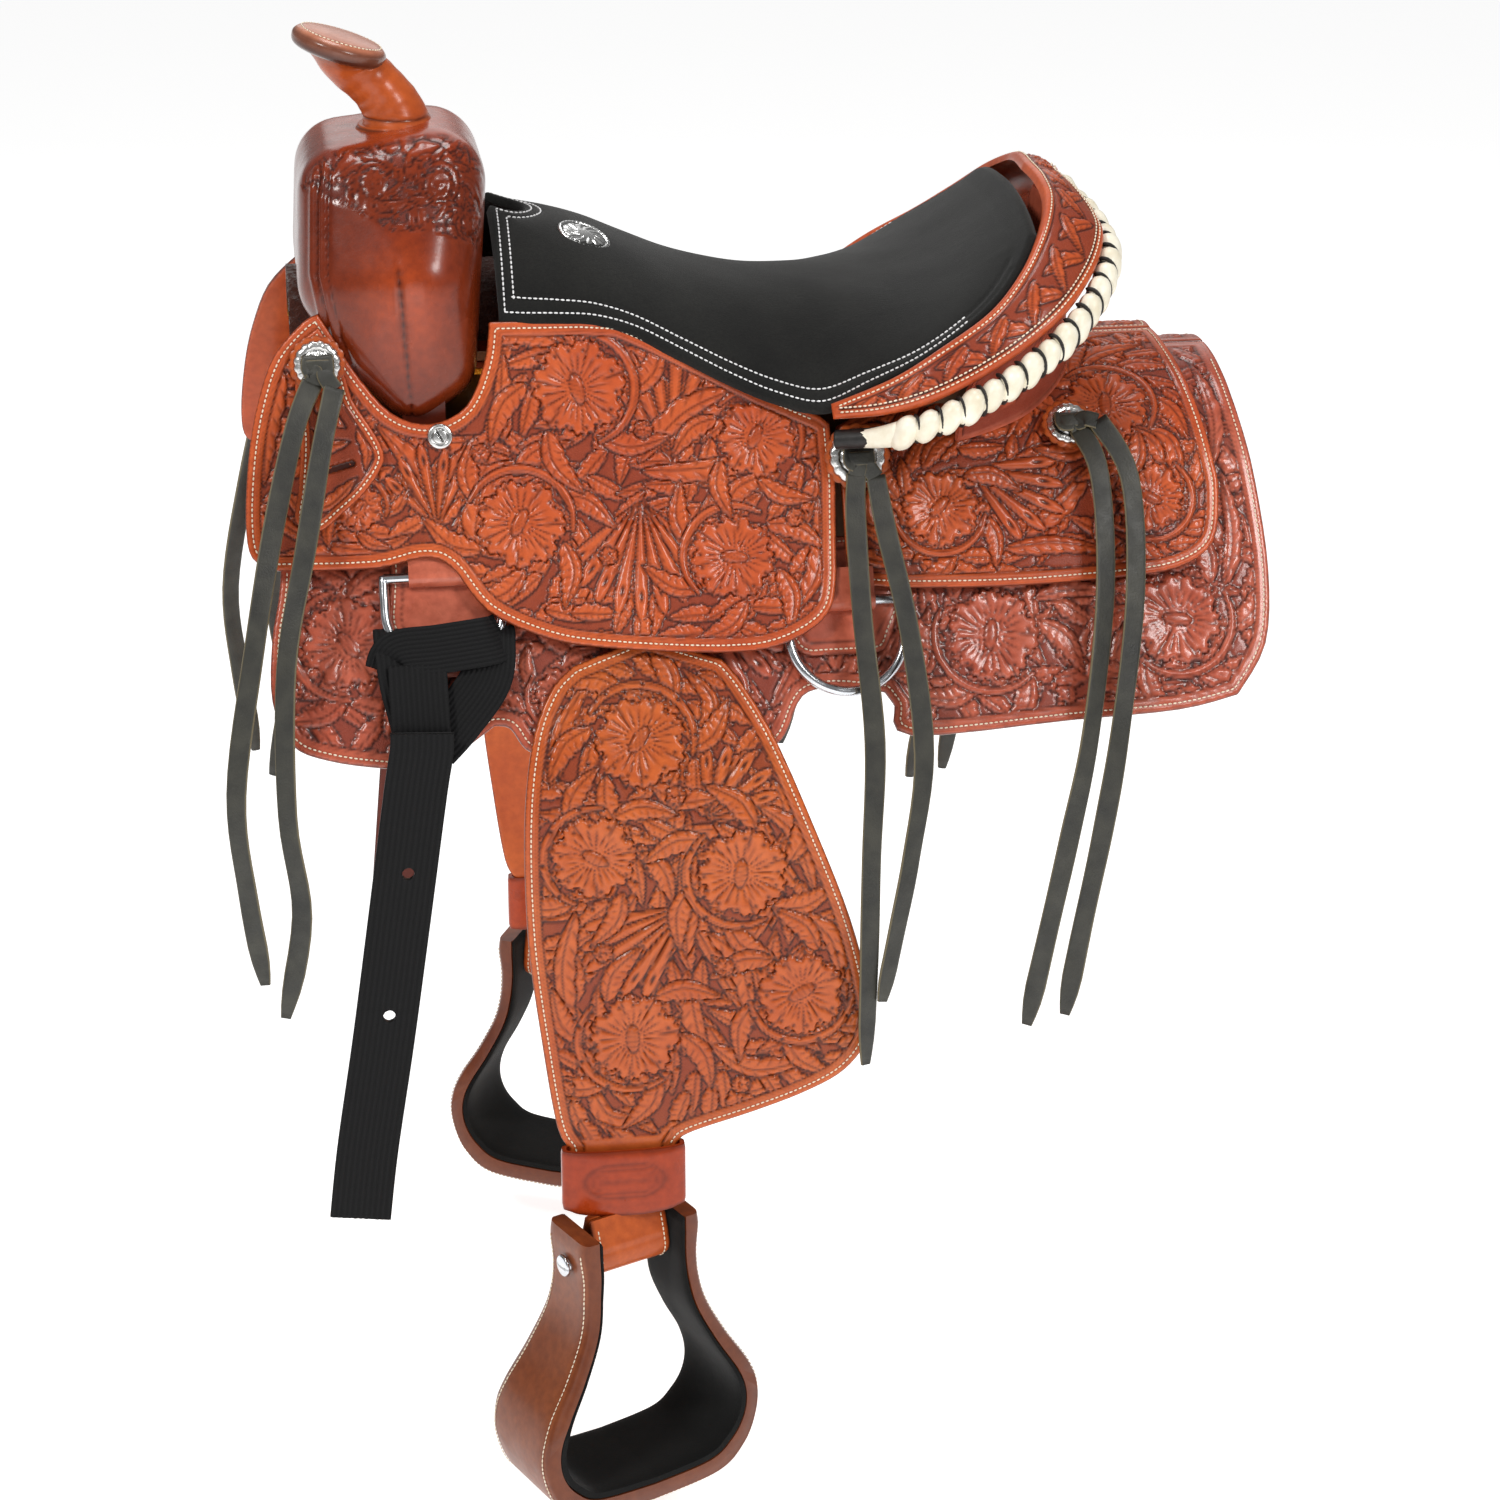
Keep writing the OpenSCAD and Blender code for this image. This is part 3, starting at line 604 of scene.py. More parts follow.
def arch_profile(h, low=-320.0):
    a = np.radians(np.linspace(0, 60, 61))
    r = ARCH_R + h
    y, z = -r * np.sin(a), -ARCH_R + r * np.cos(a)
    zz = np.linspace(z[-1], low, 80)[1:]
    yy = -(ARCH_R / 2 + h - 0.5 * zz) / 0.866
    return np.stack([np.r_[y, yy], np.r_[z, zz]], 1)


class Sheet:
    """A sheet bent along one profile: flat coordinates are x and the length s along the profile."""

    def __init__(self, profile):
        p = resample(np.asarray(profile, float), 1.0)
        self.s = travel(p)
        self.y, self.z = p[:, 0], p[:, 1]
        t = unit(np.gradient(p, axis=0))
        self.ny, self.nz = t[:, 1], -t[:, 0]

    def flat(self, x, z):
        return np.array([x, np.interp(-z, -self.z, self.s)])

    def flat_all(self, pts, top=1.2):
        q = np.array([self.flat(x, z) for x, z in pts])
        q[:, 1] = np.maximum(q[:, 1], top)
        return q

    def at(self, p, d=0.0):
        s = p[:, 1]
        n = self.normal(p)
        base = np.stack([p[:, 0], np.interp(s, self.s, self.y), np.interp(s, self.s, self.z)], 1)
        return base + n * np.reshape(d, (-1, 1))

    def normal(self, p):
        s = p[:, 1]
        return unit(np.stack([np.zeros(len(p)), np.interp(s, self.s, self.ny),
                              np.interp(s, self.s, self.nz)], 1))


def polygon_distance(p, q):
    """Signed distance of points to a closed outline (inside positive), and the nearest points on it."""
    a, b = q, np.roll(q, -1, 0)
    ab = b - a
    l2 = np.maximum((ab ** 2).sum(1), 1e-12)
    dist, near = np.empty(len(p)), np.empty_like(p)
    inside = np.zeros(len(p), bool)
    for i in range(0, len(p), 4000):
        c = p[i:i + 4000]
        ap = c[:, None] - a[None]
        t = np.clip((ap * ab[None]).sum(2) / l2, 0, 1)
        d = ap - t[..., None] * ab[None]
        d2 = (d ** 2).sum(2)
        k = d2.argmin(1)
        r = np.arange(len(c))
        dist[i:i + 4000] = np.sqrt(d2[r, k])
        near[i:i + 4000] = a[k] + t[r, k, None] * ab[k]
        cy, cx = c[:, 1:2], c[:, :1]
        cross = (a[None, :, 1] > cy) != (b[None, :, 1] > cy)
        with np.errstate(divide="ignore", invalid="ignore"):
            xi = a[:, 0] + (cy - a[None, :, 1]) * ab[None, :, 0] / ab[None, :, 1]
        inside[i:i + 4000] = (cross & (cx < xi)).sum(1) % 2 == 1
    return np.where(inside, dist, -dist), near


def grid_inside(outline, g):
    """Triangles of an even grid inside a flat outline; its rim is drawn out onto the outline."""
    lo, hi = outline.min(0) - g, outline.max(0) + g
    rows = int((hi[1] - lo[1]) / (g * 0.866)) + 2
    cols = int((hi[0] - lo[0]) / g) + 2
    jj, ii = np.meshgrid(np.arange(cols), np.arange(rows))
    x = lo[0] + g * (jj + 0.5 * (ii % 2))
    p = np.stack([x, lo[1] + 0.866 * g * ii], -1).reshape(-1, 2)
    sd, near = polygon_distance(p, outline)
    ok = sd > 0.33 * g
    idx = np.arange(rows * cols).reshape(rows, cols)
    even, odd = idx[:-1][0::2], idx[1:][0::2]
    a, b, c, d = even[:, :-1], even[:, 1:], odd[:, :-1], odd[:, 1:]
    t = [np.stack([a, b, c], -1).reshape(-1, 3), np.stack([b, d, c], -1).reshape(-1, 3)]
    lo2, up2 = idx[1:-1][0::2], idx[2:][0::2]
    a, b, c, d = lo2[:, :-1], lo2[:, 1:], up2[:, :-1], up2[:, 1:]
    t += [np.stack([a, b, d], -1).reshape(-1, 3), np.stack([a, d, c], -1).reshape(-1, 3)]
    tri = np.concatenate(t)
    tri = tri[ok[tri].any(1)]
    q = np.where(ok[:, None], p, near)
    e1, e2 = q[tri[:, 1]] - q[tri[:, 0]], q[tri[:, 2]] - q[tri[:, 0]]
    tri = tri[np.abs(e1[:, 0] * e2[:, 1] - e1[:, 1] * e2[:, 0]) > 1e-4]
    used = np.unique(tri)
    back = np.zeros(len(p), int)
    back[used] = np.arange(len(used))
    return q[used], back[tri], np.where(ok, sd, 0)[used]


def rim_edges(tri):
    e = np.concatenate([tri[:, [0, 1]], tri[:, [1, 2]], tri[:, [2, 0]]])
    key = np.sort(e, 1)
    _, first, count = np.unique(key, axis=0, return_index=True, return_counts=True)
    return e[first[count == 1]]


def inset(outline, d):
    """The outline moved inward by d, with its folds left out."""
    q = resample(outline, 1.5, True)
    area = np.sum(q[:, 0] * np.roll(q[:, 1], -1) - np.roll(q[:, 0], -1) * q[:, 1])
    t = tangents(q, True)
    n = np.stack([-t[:, 1], t[:, 0]], 1) * np.sign(area)
    p = q + n * d
    sd, _ = polygon_distance(p, outline)
    return p[sd > d * 0.97]


def runs(q, keep):
    """The unbroken stretches of a closed stitch line that are worth sewing."""
    gaps = np.linalg.norm(np.diff(np.r_[q, q[:1]], axis=0), axis=1) > WIDEST_GAP
    start = 0
    for i in [k for k in range(len(q)) if gaps[k] or not keep[k]] + [len(q) - 1]:
        run, start = q[start:i + 1], i + 1
        if len(run) >= FEWEST_POINTS:
            yield run


def panel(name, body, sheet, outline, relief, thick, g, mat, slot, sides=SIDES, stitch=(4.2,),
          thread="thread",
          blend=None, top_open=None):
    """A leather panel with a carved face, a round edge, a back, and rows of stitches."""
    p, tri, sd = grid_inside(outline, g)
    h, bg, cut = relief(p, sd)
    h = h - 1.1 * (1 - np.clip(sd / 1.6, 0, 1)) ** 2
    for d in stitch:
        h = h - 0.45 * np.exp(-((sd - d) / 0.9) ** 2)
        cut = np.maximum(cut, 0.35 * np.exp(-((sd - d) / 1.0) ** 2))
    front = sheet.at(p, h)
    rear = sheet.at(p, -thick + 0.5 * (1 - np.clip(sd / 1.2, 0, 1)))
    n = len(p)
    e = rim_edges(tri)
    area = (p[tri[:, 1], 0] - p[tri[:, 0], 0]) * (p[tri[:, 2], 1] - p[tri[:, 0], 1]) \
        - (p[tri[:, 2], 0] - p[tri[:, 0], 0]) * (p[tri[:, 1], 1] - p[tri[:, 0], 1])
    flip = area.mean() > 0
    f = tri[:, ::-1] if flip else tri
    e = e[:, ::-1] if flip else e
    walls = np.stack([e[:, 1], e[:, 0], e[:, 0] + n, e[:, 1] + n], 1)
    rim = (sd < 0.01).astype(float)
    attrs = {"bg": np.r_[bg, np.zeros(n)], "cut": np.r_[cut, np.zeros(n)],
             "edge": np.r_[rim, np.ones(n) * rim]}
    made = []
    for label, s in sides:
        o = build(f"{name}_{label}", None if blend else body.format(label), mat, np.r_[front, rear],
                  [f, f[:, ::-1] + n, walls], attrs, slot, s, sharp=60)
        made.append(o)
    rows = []
    for d in stitch:
        q = inset(outline, d)
        keep = np.ones(len(q), bool) if top_open is None else ~top_open(q)
        for run in runs(q, keep):
            rows.append(stitches(sheet.at(run, -0.25), sheet.normal(run)))
    if rows:
        v, fs, _ = join(rows)
        for label, s in sides:
            o = build(f"{name}_stitches_{label}", None if blend else body.format(label), M[thread], v, fs,
                      None, None, s)
            made.append(o)
    return made


# ------------------------------------------------------------ carving

class Carving:
    """Hand tooling as heights over a flat panel: later shapes lie over earlier ones."""

    def __init__(self, p, sd, border=9.0, ground=-1.0):
        self.p, self.sd, self.border = p, sd, border
        self.h = np.full(len(p), ground)
        self.bg = np.ones(len(p))
        self.cut = np.zeros(len(p))

    def near(self, c, r):
        return np.nonzero((np.abs(self.p[:, 0] - c[0]) < r) & (np.abs(self.p[:, 1] - c[1]) < r))[0]

    def lay(self, i, f, h, cut):
        """f is the depth inside the shape, h its height there, and cut its dark lines."""
        inside = f > 0
        ring = (f <= 0) & (f > -1.7)
        k = i[ring]
        g = np.exp(-((f[ring] + 0.6) / 0.9) ** 2)
        self.h[k] = self.h[k] * (1 - g) - 1.5 * g
        self.cut[k] = np.maximum(self.cut[k] * 0.6, g)
        k = i[inside]
        bevel = ss(f[inside], 0, 1.6)
        self.h[k] = -0.75 + (h[inside] + 0.75) * bevel
        self.bg[k] = 0
        self.cut[k] = np.maximum(cut[inside], 0.5 * (1 - ss(f[inside], 0, 0.9)))

    def along(self, i, curve):
        """Place along a curve (0 to 1) and signed distance from it, for the points i."""
        q = self.p[i]
        a, b = curve[:-1], curve[1:]
        ab = b - a
        t = np.clip(((q[:, None] - a) * ab).sum(2) / np.maximum((ab ** 2).sum(1), 1e-9), 0, 1)
        d = q[:, None] - a - t[..., None] * ab
        d2 = (d ** 2).sum(2)
        k = d2.argmin(1)
        r = np.arange(len(q))
        lens = np.linalg.norm(ab, axis=1)
        s = (np.r_[0, np.cumsum(lens)][k] + t[r, k] * lens[k]) / lens.sum()
        side = np.sign(ab[k, 0] * d[r, k, 1] - ab[k, 1] * d[r, k, 0])
        return s, np.sqrt(d2[r, k]) * np.where(side == 0, 1, side), lens.sum()

    def stem(self, pts, w=2.4, taper=0.7):
        curve = smooth(pts, 8)
        i = self.near(curve.mean(0), np.abs(curve - curve.mean(0)).max() + w + 3)
        if not len(i):
            return
        s, q, _ = self.along(i, curve)
        half = w * (1 - taper * np.abs(2 * s - 1) ** 3)
        self.lay(i, half - np.abs(q), 0.15 - 0.45 * np.exp(-((q - 0.35 * half) / 0.6) ** 2),
                 0.5 * np.exp(-((q - 0.35 * half) / 0.6) ** 2))

    def leaf(self, pts, w=9.0, lobes=4, bend=1.0):
        """An acanthus leaf: scalloped on its outer side, with a rib and slanting veins."""
        curve = smooth(pts, 8)
        i = self.near(curve.mean(0), np.abs(curve - curve.mean(0)).max() + w + 3)
        if not len(i):
            return
        s, q, _ = self.along(i, curve)
        env = w * np.sin(np.pi * np.clip(s, 0, 1) ** 0.75) ** 0.8
        wave = 0.82 + 0.18 * np.abs(np.sin(np.pi * lobes * s))
        outer = q * bend > 0
        half = env * np.where(outer, wave, 0.55)
        f = half - np.abs(q)
        rel = np.abs(q) / np.maximum(half, 0.5)
        vein = 0.5 + 0.5 * np.cos(TAU * (s * lobes * 1.6 - np.abs(q) / (w * 1.1)))
        rib = np.exp(-(q / 0.8) ** 2)
        h = 0.35 + 0.35 * np.where(outer, rel, 0.4) - 0.55 * vein ** 4 * ss(rel, 0.05, 0.5) - 0.7 * rib
        self.lay(i, f, h, np.maximum(0.75 * rib, 0.55 * vein ** 5 * ss(rel, 0.1, 0.6)))

    def drop(self, a, b, w=4.5):
        """One long petal of a fan, widest near its round tip, with a seed cut in it."""
        a, b = np.asarray(a, float), np.asarray(b, float)
        i = self.near((a + b) / 2, np.linalg.norm(b - a) / 2 + w + 3)
        if not len(i):
            return
        u = unit(b - a)
        length = np.linalg.norm(b - a)
        q = self.p[i] - a
        s, v = q @ u / length, q @ np.array([-u[1], u[0]])
        half = w * np.clip(s, 0, 1) ** 0.9 * np.sqrt(np.clip(1 - np.clip(s, 0, 1) ** 6, 0, 1))
        f = np.minimum(half - np.abs(v), 3)
        f = np.where((s < 0) | (s > 1), -9, f)
        seed = np.exp(-(((s - 0.8) * length / 4.2) ** 2 + (v / 1.3) ** 2) ** 2)
        line = np.exp(-((np.abs(v) - half * 0.62) / 0.5) ** 2) * (s < 0.72)
        self.lay(i, f, 0.4 - 1.0 * seed - 0.3 * line - 0.1 * np.abs(v), np.maximum(seed, 0.45 * line))

    def fan(self, base, aim_at, spread=80, count=7, w=4.6):
        base, aim_at = np.asarray(base, float), np.asarray(aim_at, float)
        r = np.linalg.norm(aim_at - base)
        a0 = math.atan2(*(aim_at - base)[::-1])
        order = sorted(range(count), key=lambda k: -abs(k - (count - 1) / 2))
        for k in order:
            u = (k / (count - 1) - 0.5) * 2
            a = a0 + math.radians(spread / 2 * u)
            length = r * (1 - 0.16 * abs(u))
            self.drop(base, base + length * np.array([math.cos(a), math.sin(a)]), w)

    def flower(self, c, r, turn=0.0, petals=7):
        """A wild rose: ruffled petals, lines running out from a raised oval bud."""
        c = np.asarray(c, float)
        i = self.near(c, r * 1.12 + 3)
        if not len(i):
            return
        q = self.p[i] - c
        rad, th = np.hypot(q[:, 0], q[:, 1]), np.arctan2(q[:, 1], q[:, 0]) + turn
        th = th + 0.10 * np.sin(2 * th + turn)
        lobe = np.abs(np.cos(petals * th / 2))
        small = np.abs(np.cos(petals * 2 * th + 0.6))
        edge = r * (0.74 + 0.20 * lobe ** 0.55 + 0.08 * small + 0.05 * np.sin(th + turn))
        f = edge - rad
        rel = rad / r
        rays = 0.5 + 0.5 * np.cos(24 * th)
        fade = ss(rel, 0.18, 0.28) * (1 - ss(rel, 0.52 + 0.16 * np.cos(3 * th), 0.80))
        split = np.exp(-((np.abs(np.mod(th * petals / TAU + 0.5, 1) - 0.5)) * TAU / petals
                         * rad / 0.9) ** 2)
        split = split * ss(rel, 0.5, 0.7)
        h = 0.05 + 1.1 * ss(rel, 0.25, 0.8) - 1.0 * rays ** 3 * fade - 0.8 * split
        cut = np.maximum(0.8 * rays ** 4 * fade, 0.8 * split)
        seeds = np.exp(-(((rel - 0.82) * r / 1.5) ** 2)) * (0.5 + 0.5 * np.cos(petals * 2 * th + 1.5)) ** 6
        h, cut = h - 1.0 * seeds, np.maximum(cut, seeds)
        self.lay(i, f, h, cut)
        ct, st = math.cos(-turn - 0.6), math.sin(-turn - 0.6)
        u, v = q[:, 0] * ct + q[:, 1] * st, -q[:, 0] * st + q[:, 1] * ct
        e = np.hypot(u / (0.30 * r), v / (0.13 * r))
        k = e < 1.35
        bud = i[k]
        rim = np.exp(-((e[k] - 1.12) / 0.16) ** 2)
        self.h[bud] = np.where(e[k] < 1.05, 1.1 * np.sqrt(np.clip(1.15 - e[k] ** 2, 0, 1)),
                               self.h[bud]) - 0.7 * rim
        self.cut[bud] = np.where(e[k] < 1.0, 0.12 + 0.35 * (0.5 + 0.5 * np.sin(u[k] * 3.2)) ** 3, 0.85
                                 * rim)

    def pit(self, c, r=1.7):
        """A round seed stamped deep into the ground."""
        i = self.near(c, r * 2.2)
        d = np.hypot(*(self.p[i] - c).T)
        g = np.exp(-(d / r) ** 4)
        self.h[i] = self.h[i] * (1 - g) - 1.6 * g
        self.cut[i] = np.maximum(self.cut[i], g)

    def pits(self, c, r, turn, count=14):
        for k in range(count):
            a = turn + TAU * k / count
            far = r * (1.16 + 0.13 * (k % 2))
            self.pit(np.asarray(c, float) + far * np.array([math.cos(a), math.sin(a)]))

    def ring(self, c, r, a0, a1, w=2.6):
        a = np.radians(np.linspace(a0, a1, 9))
        self.stem(np.asarray(c, float) + r * np.stack([np.cos(a), np.sin(a)], 1), w, 0.6)

    def scroll(self, c, r, turn, hand=1, leaves=5):
        """A flower in its circle of stem, with leaves swirling off the circle."""
        c = np.asarray(c, float)
        for k in range(leaves):
            a = turn + TAU * k / leaves * hand
            o = np.array([math.cos(a), math.sin(a)])
            t = np.array([-o[1], o[0]]) * hand
            p0 = c + 1.12 * r * o
            p1 = c + 1.62 * r * o + 0.55 * r * t
            p2 = c + 1.75 * r * o + 1.45 * r * t
            self.leaf([p0, p1, p2], 0.33 * r, 5, hand)
        self.ring(c, 1.26 * r, math.degrees(turn), math.degrees(turn) + 165 * hand, 0.07 * r + 0.6)
        self.flower(c, r * 1.04, turn)

    def fill(self, step=21.0, centres=(), w=7.5):
        """A flowing bed of leaves, turned round the nearest flower, before anything else is laid."""
        lo, hi = self.p.min(0), self.p.max(0)
        k = 0
        y = lo[1] + step * 0.3
        while y < hi[1]:
            x = lo[0] + step * (0.25 + 0.5 * (k % 2))
            while x < hi[0]:
                c = np.array([x + 3.1 * math.sin(x * 0.37 + y), y + 3.1 * math.cos(y * 0.41 + x)])
                near = min(centres, key=lambda q: np.hypot(*(c - q))) if len(centres) else lo
                o = unit(c - near)
                t = np.array([-o[1], o[0]])
                hand = 1 if math.sin(x * 0.9 + y * 1.7) > 0 else -1
                a = c - step * 0.95 * (0.75 * t * hand + 0.5 * o)
                b = c + step * 0.95 * (0.55 * t * hand + 0.7 * o)
                self.leaf([a, c + 3.5 * o, b], w, 5, hand)
                x += step
            y += step * 0.82
            k += 1

    def finish(self, floor=0.0):
        """Keeps the border plain, with one cut line along its inner edge."""
        b, sd = self.border, self.sd
        plain_edge = sd < b
        self.h = np.where(plain_edge, floor, self.h)
        self.bg = np.where(plain_edge, 0, self.bg)
        self.cut = np.where(plain_edge, 0, self.cut)
        line = np.exp(-((sd - b) / 0.75) ** 2)
        self.h = self.h * (1 - line) - 1.2 * line
        self.cut = np.maximum(self.cut, 0.9 * line)
        second = np.exp(-((sd - b + 2.4) / 0.5) ** 2)
        self.h = self.h - 0.3 * second
        self.cut = np.maximum(self.cut, 0.35 * second)
        return self.h, self.bg, self.cut


def flat_relief(p, sd):
    line = np.exp(-((sd - 8.5) / 0.7) ** 2)
    return -0.5 * line, np.zeros(len(p)), 0.7 * line


# ------------------------------------------------------------ leather panels

JOCKEY_FACE = [[-86, 80], [-90, 63], [-97, 35], [-105, 8], [-114, -20], [-127, -50], [-145, -88],
               [-175.5, -138]]


def seat_jockey():
    sheet = Sheet(smooth(JOCKEY_FACE, 6))
    front = smooth([[-266, 75], [-276, 70], [-296, 49], [-308, 19], [-315, -12], [-319, -50], [-316, -72],
                    [-300, -80]], 4)
    low = smooth([[-300, -80], [-238, -81], [-206, -76], [-188, -82], [-166, -108], [-128, -125],
                  [-90, -132],
                  [-25, -137.5], [15, -137], [44, -128], [60, -115], [65, -95]], 4)
    back = [[68, -41], [66, -6], [60, -1], [20, 17], [-15, 35], [-48, 52], [-72, 63], [-97, 65], [-156, 66]]
    notch = smooth([[-156, 62], [-160, 40], [-173, 14], [-197, 4], [-222, 12], [-244, 38], [-258, 62]], 4)
    out = sheet.flat_all(np.concatenate([front, low[1:], back, notch]))
    F = sheet.flat

    def relief(p, sd):
        c = Carving(p, sd, 9.5)
        c.fill(20, [F(-246, -44), F(-2, -84), F(20, -12), F(-142, -58), F(-100, 22)])
        c.fan(F(-62, -48), F(-66, -118), 95, 9, 6.0)
        c.fan(F(-40, -25), F(-32, 58), 75, 7, 6.0)
        c.leaf([F(-62, -25), F(-30, 5), F(10, 20)], 10, 5, -1)
        c.leaf([F(-60, -30), F(-20, -30), F(45, -20)], 9, 6, 1)
        c.leaf([F(-200, -60), F(-180, -35), F(-120, -22)], 9, 5, -1)
        c.leaf([F(-172, -78), F(-165, -45), F(-120, -25)], 10, 5, -1)
        c.leaf([F(-205, -52), F(-208, -25), F(-232, 5)], 10, 4, 1)
        c.leaf([F(-190, -40), F(-175, -20), F(-150, 2)], 9, 4, -1)
        c.fan(F(-196, -58), F(-204, -8), 70, 5, 4.6)
        c.leaf([F(-150, -8), F(-150, 18), F(-148, 48)], 8, 4, 1)
        c.leaf([F(-290, 40), F(-302, 5), F(-306, -30)], 8, 5, -1)
        c.leaf([F(-268, -66), F(-240, -70), F(-212, -62)], 7, 4, 1)
        c.leaf([F(30, -120), F(52, -95), F(56, -50)], 8, 5, -1)
        c.scroll(F(-246, -44), 15, 0.4, -1, 5)
        c.scroll(F(-2, -84), 27, 2.4, 1, 6)
        c.scroll(F(16, -12), 25, 0.5, -1, 6)
        c.scroll(F(-142, -58), 28, 3.6, 1, 6)
        c.scroll(F(-100, 22), 30, 1.2, -1, 6)
        for k, (x, z) in enumerate(((-165, -15), (-58, -5), (40, -62), (-85, -80))):
            c.flower(F(x, z), 6.0, k, 5)
        return c.finish()

    top = lambda q: (q[:, 0] > -62) & (q[:, 0] < 74) & (q[:, 1] < sheet.flat(0, 6)[1] + 20) & \
        (q[:, 1] < np.interp(q[:, 0], [-62, 4, 46, 70],
                             [sheet.flat(0, z)[1] + 9 for z in (72, 34, 12, -8)]))
    return panel("jockey_panel", "saddle", sheet, out, relief, 4.0, 1.35, M["tooled"], "tooled_leather",
                 top_open=top)


def rear_jockey():
    sheet = Sheet(arch_profile(21.0))
    edge = smooth([[304, 30], [314, 12], [321, -10], [327, -40], [329, -60], [322, -90], [296, -104],
                   [256, -108]], 4)
    low = smooth([[256, -108], [176, -110], [84, -106], [74, -95], [73, -60], [73, -14]], 4)
    pts = sheet.flat_all(np.concatenate([edge, low[1:]]))
    top = np.array([[120, 72], [190, 62], [206, 40], [212, 1.2], [298, 1.2]])
    out = np.concatenate([pts, [[73, sheet.flat(0, -14)[1]]], top])
    F = sheet.flat

    def relief(p, sd):
        c = Carving(p, sd, 9.0)
        c.fill(20, [F(138, -62), F(280, -66), F(262, -12)])
        c.leaf([F(195, -80), F(225, -60), F(245, -38)], 9, 5, 1)
        c.leaf([F(168, -60), F(200, -35), F(235, -25)], 9, 5, 1)
        c.leaf([F(180, -88), F(215, -86), F(250, -92)], 8, 5, 1)
        c.fan(F(160, -40), F(222, -68), 60, 5, 5.5)
        c.leaf([F(278, -22), F(300, -30), F(304, -70)], 8, 5, 1)
        c.leaf([F(100, -85), F(92, -60), F(100, -35)], 8, 4, 1)
        c.leaf([F(225, 4), F(252, 14), F(290, 8)], 8, 4, -1)
        c.leaf(np.array([[240, 60], [262, 40], [296, 30]]), 9, 5, -1)
        c.leaf(np.array([[228, 28], [250, 18], [280, 10]]), 8, 5, -1)
        c.scroll(F(138, -62), 25, 0.2, 1, 6)
        c.scroll(F(282, -62), 23, 2.0, -1, 6)
        c.scroll(F(258, -8), 27, 4.0, 1, 6)
        return c.finish()

    top_open = lambda q: (q[:, 1] < 4) | ((q[:, 0] < 214) & (q[:, 1] < sheet.flat(0, -20)[1]))
    return panel("rear_panel", "saddle", sheet, out, relief, 4.0, 1.35, M["tooled"], "tooled_leather",
                 top_open=top_open)


def skirt():
    sheet = Sheet(arch_profile(10.0))
    rear = smooth([[344, 34], [350, -10], [358, -59], [361.5, -112], [355, -155], [333, -184]], 4)
    low = smooth([[333, -184], [292, -191], [216, -194], [110, -198], [100, -180]], 4)
    notch = smooth([[94, -172], [60, -168], [39, -172], [26, -193], [18, -200]], 4)
    mid = smooth([[-132, -200], [-146, -194], [-155, -182], [-165, -180]], 4)
    front = smooth([[-203, -203], [-238, -201], [-274, -195], [-297, -185], [-308, -160], [-306, -125],
                    [-299, -94], [-296, -50], [-292, -12], [-290, -6]], 4)
    side = sheet.flat_all(np.concatenate([rear, low[1:], notch, mid, front]), 2.0)
    top = np.array([[-286, 30], [175, 30], [184, 26], [184, 2.0], [338, 2.0]])
    out = np.concatenate([side, top])
    F = sheet.flat

    def relief(p, sd):
        c = Carving(p, sd, 10.0)
        c.fill(22, [F(168, -144), F(296, -140), F(-257, -130), F(-120, -165)], 8)
        c.leaf([F(112, -172), F(118, -150), F(128, -122)], 8, 4, 1)
        c.leaf([F(200, -122), F(226, -118), F(254, -122)], 8, 5, -1)
        c.leaf([F(236, -172), F(262, -176), F(300, -176)], 8, 5, 1)
        c.leaf([F(208, -170), F(228, -165), F(244, -150)], 8, 5, 1)
        c.leaf([F(330, -120), F(338, -90), F(334, -50)], 8, 6, 1)
        c.leaf([F(328, -50), F(334, -20), F(328, 5)], 7, 5, 1)
        c.leaf([F(-292, -90), F(-284, -120), F(-290, -160)], 7, 4, 1)
        c.leaf([F(-222, -104), F(-196, -118), F(-176, -160)], 9, 5, 1)
        c.leaf([F(-216, -150), F(-198, -170), F(-160, -168)], 8, 4, 1)
        c.fan(F(-238, -178), F(-196, -150), 70, 5, 5.5)
        c.fan(F(66, -112), F(62, -158), 100, 5, 7.0)
        c.fan(F(-20, -120), F(-20, -178), 120, 7, 7.0)
        c.scroll(F(168, -142), 30, 0.8, 1, 6)
        c.scroll(F(296, -138), 30, 2.4, -1, 6)
        c.scroll(F(-257, -130), 29, 1.6, 1, 6)
        c.scroll(F(-120, -165), 18, 1.0, 1, 5)
        return c.finish()

    def top_open(q):
        return q[:, 1] < 33
    return panel("skirt_panel", "saddle", sheet, out, relief, 4.6, 1.75, M["dark_tooled"], "tooled_leather",
                 top_open=top_open)


def plane_y(h, z):
    return -(ARCH_R / 2 + 0.03 + h - 0.5 * z) / 0.866


FENDER_PATH = np.concatenate([
    [[plane_y(16.7, -84), -84], [plane_y(16.7, -146), -146], [plane_y(16.7, -190), -190]],
    smooth([[-204.2, -215], [-211.8, -250], [-219.3, -330], [-225, -420], [-228, -470]], 4),
    [[-228, -516]]])


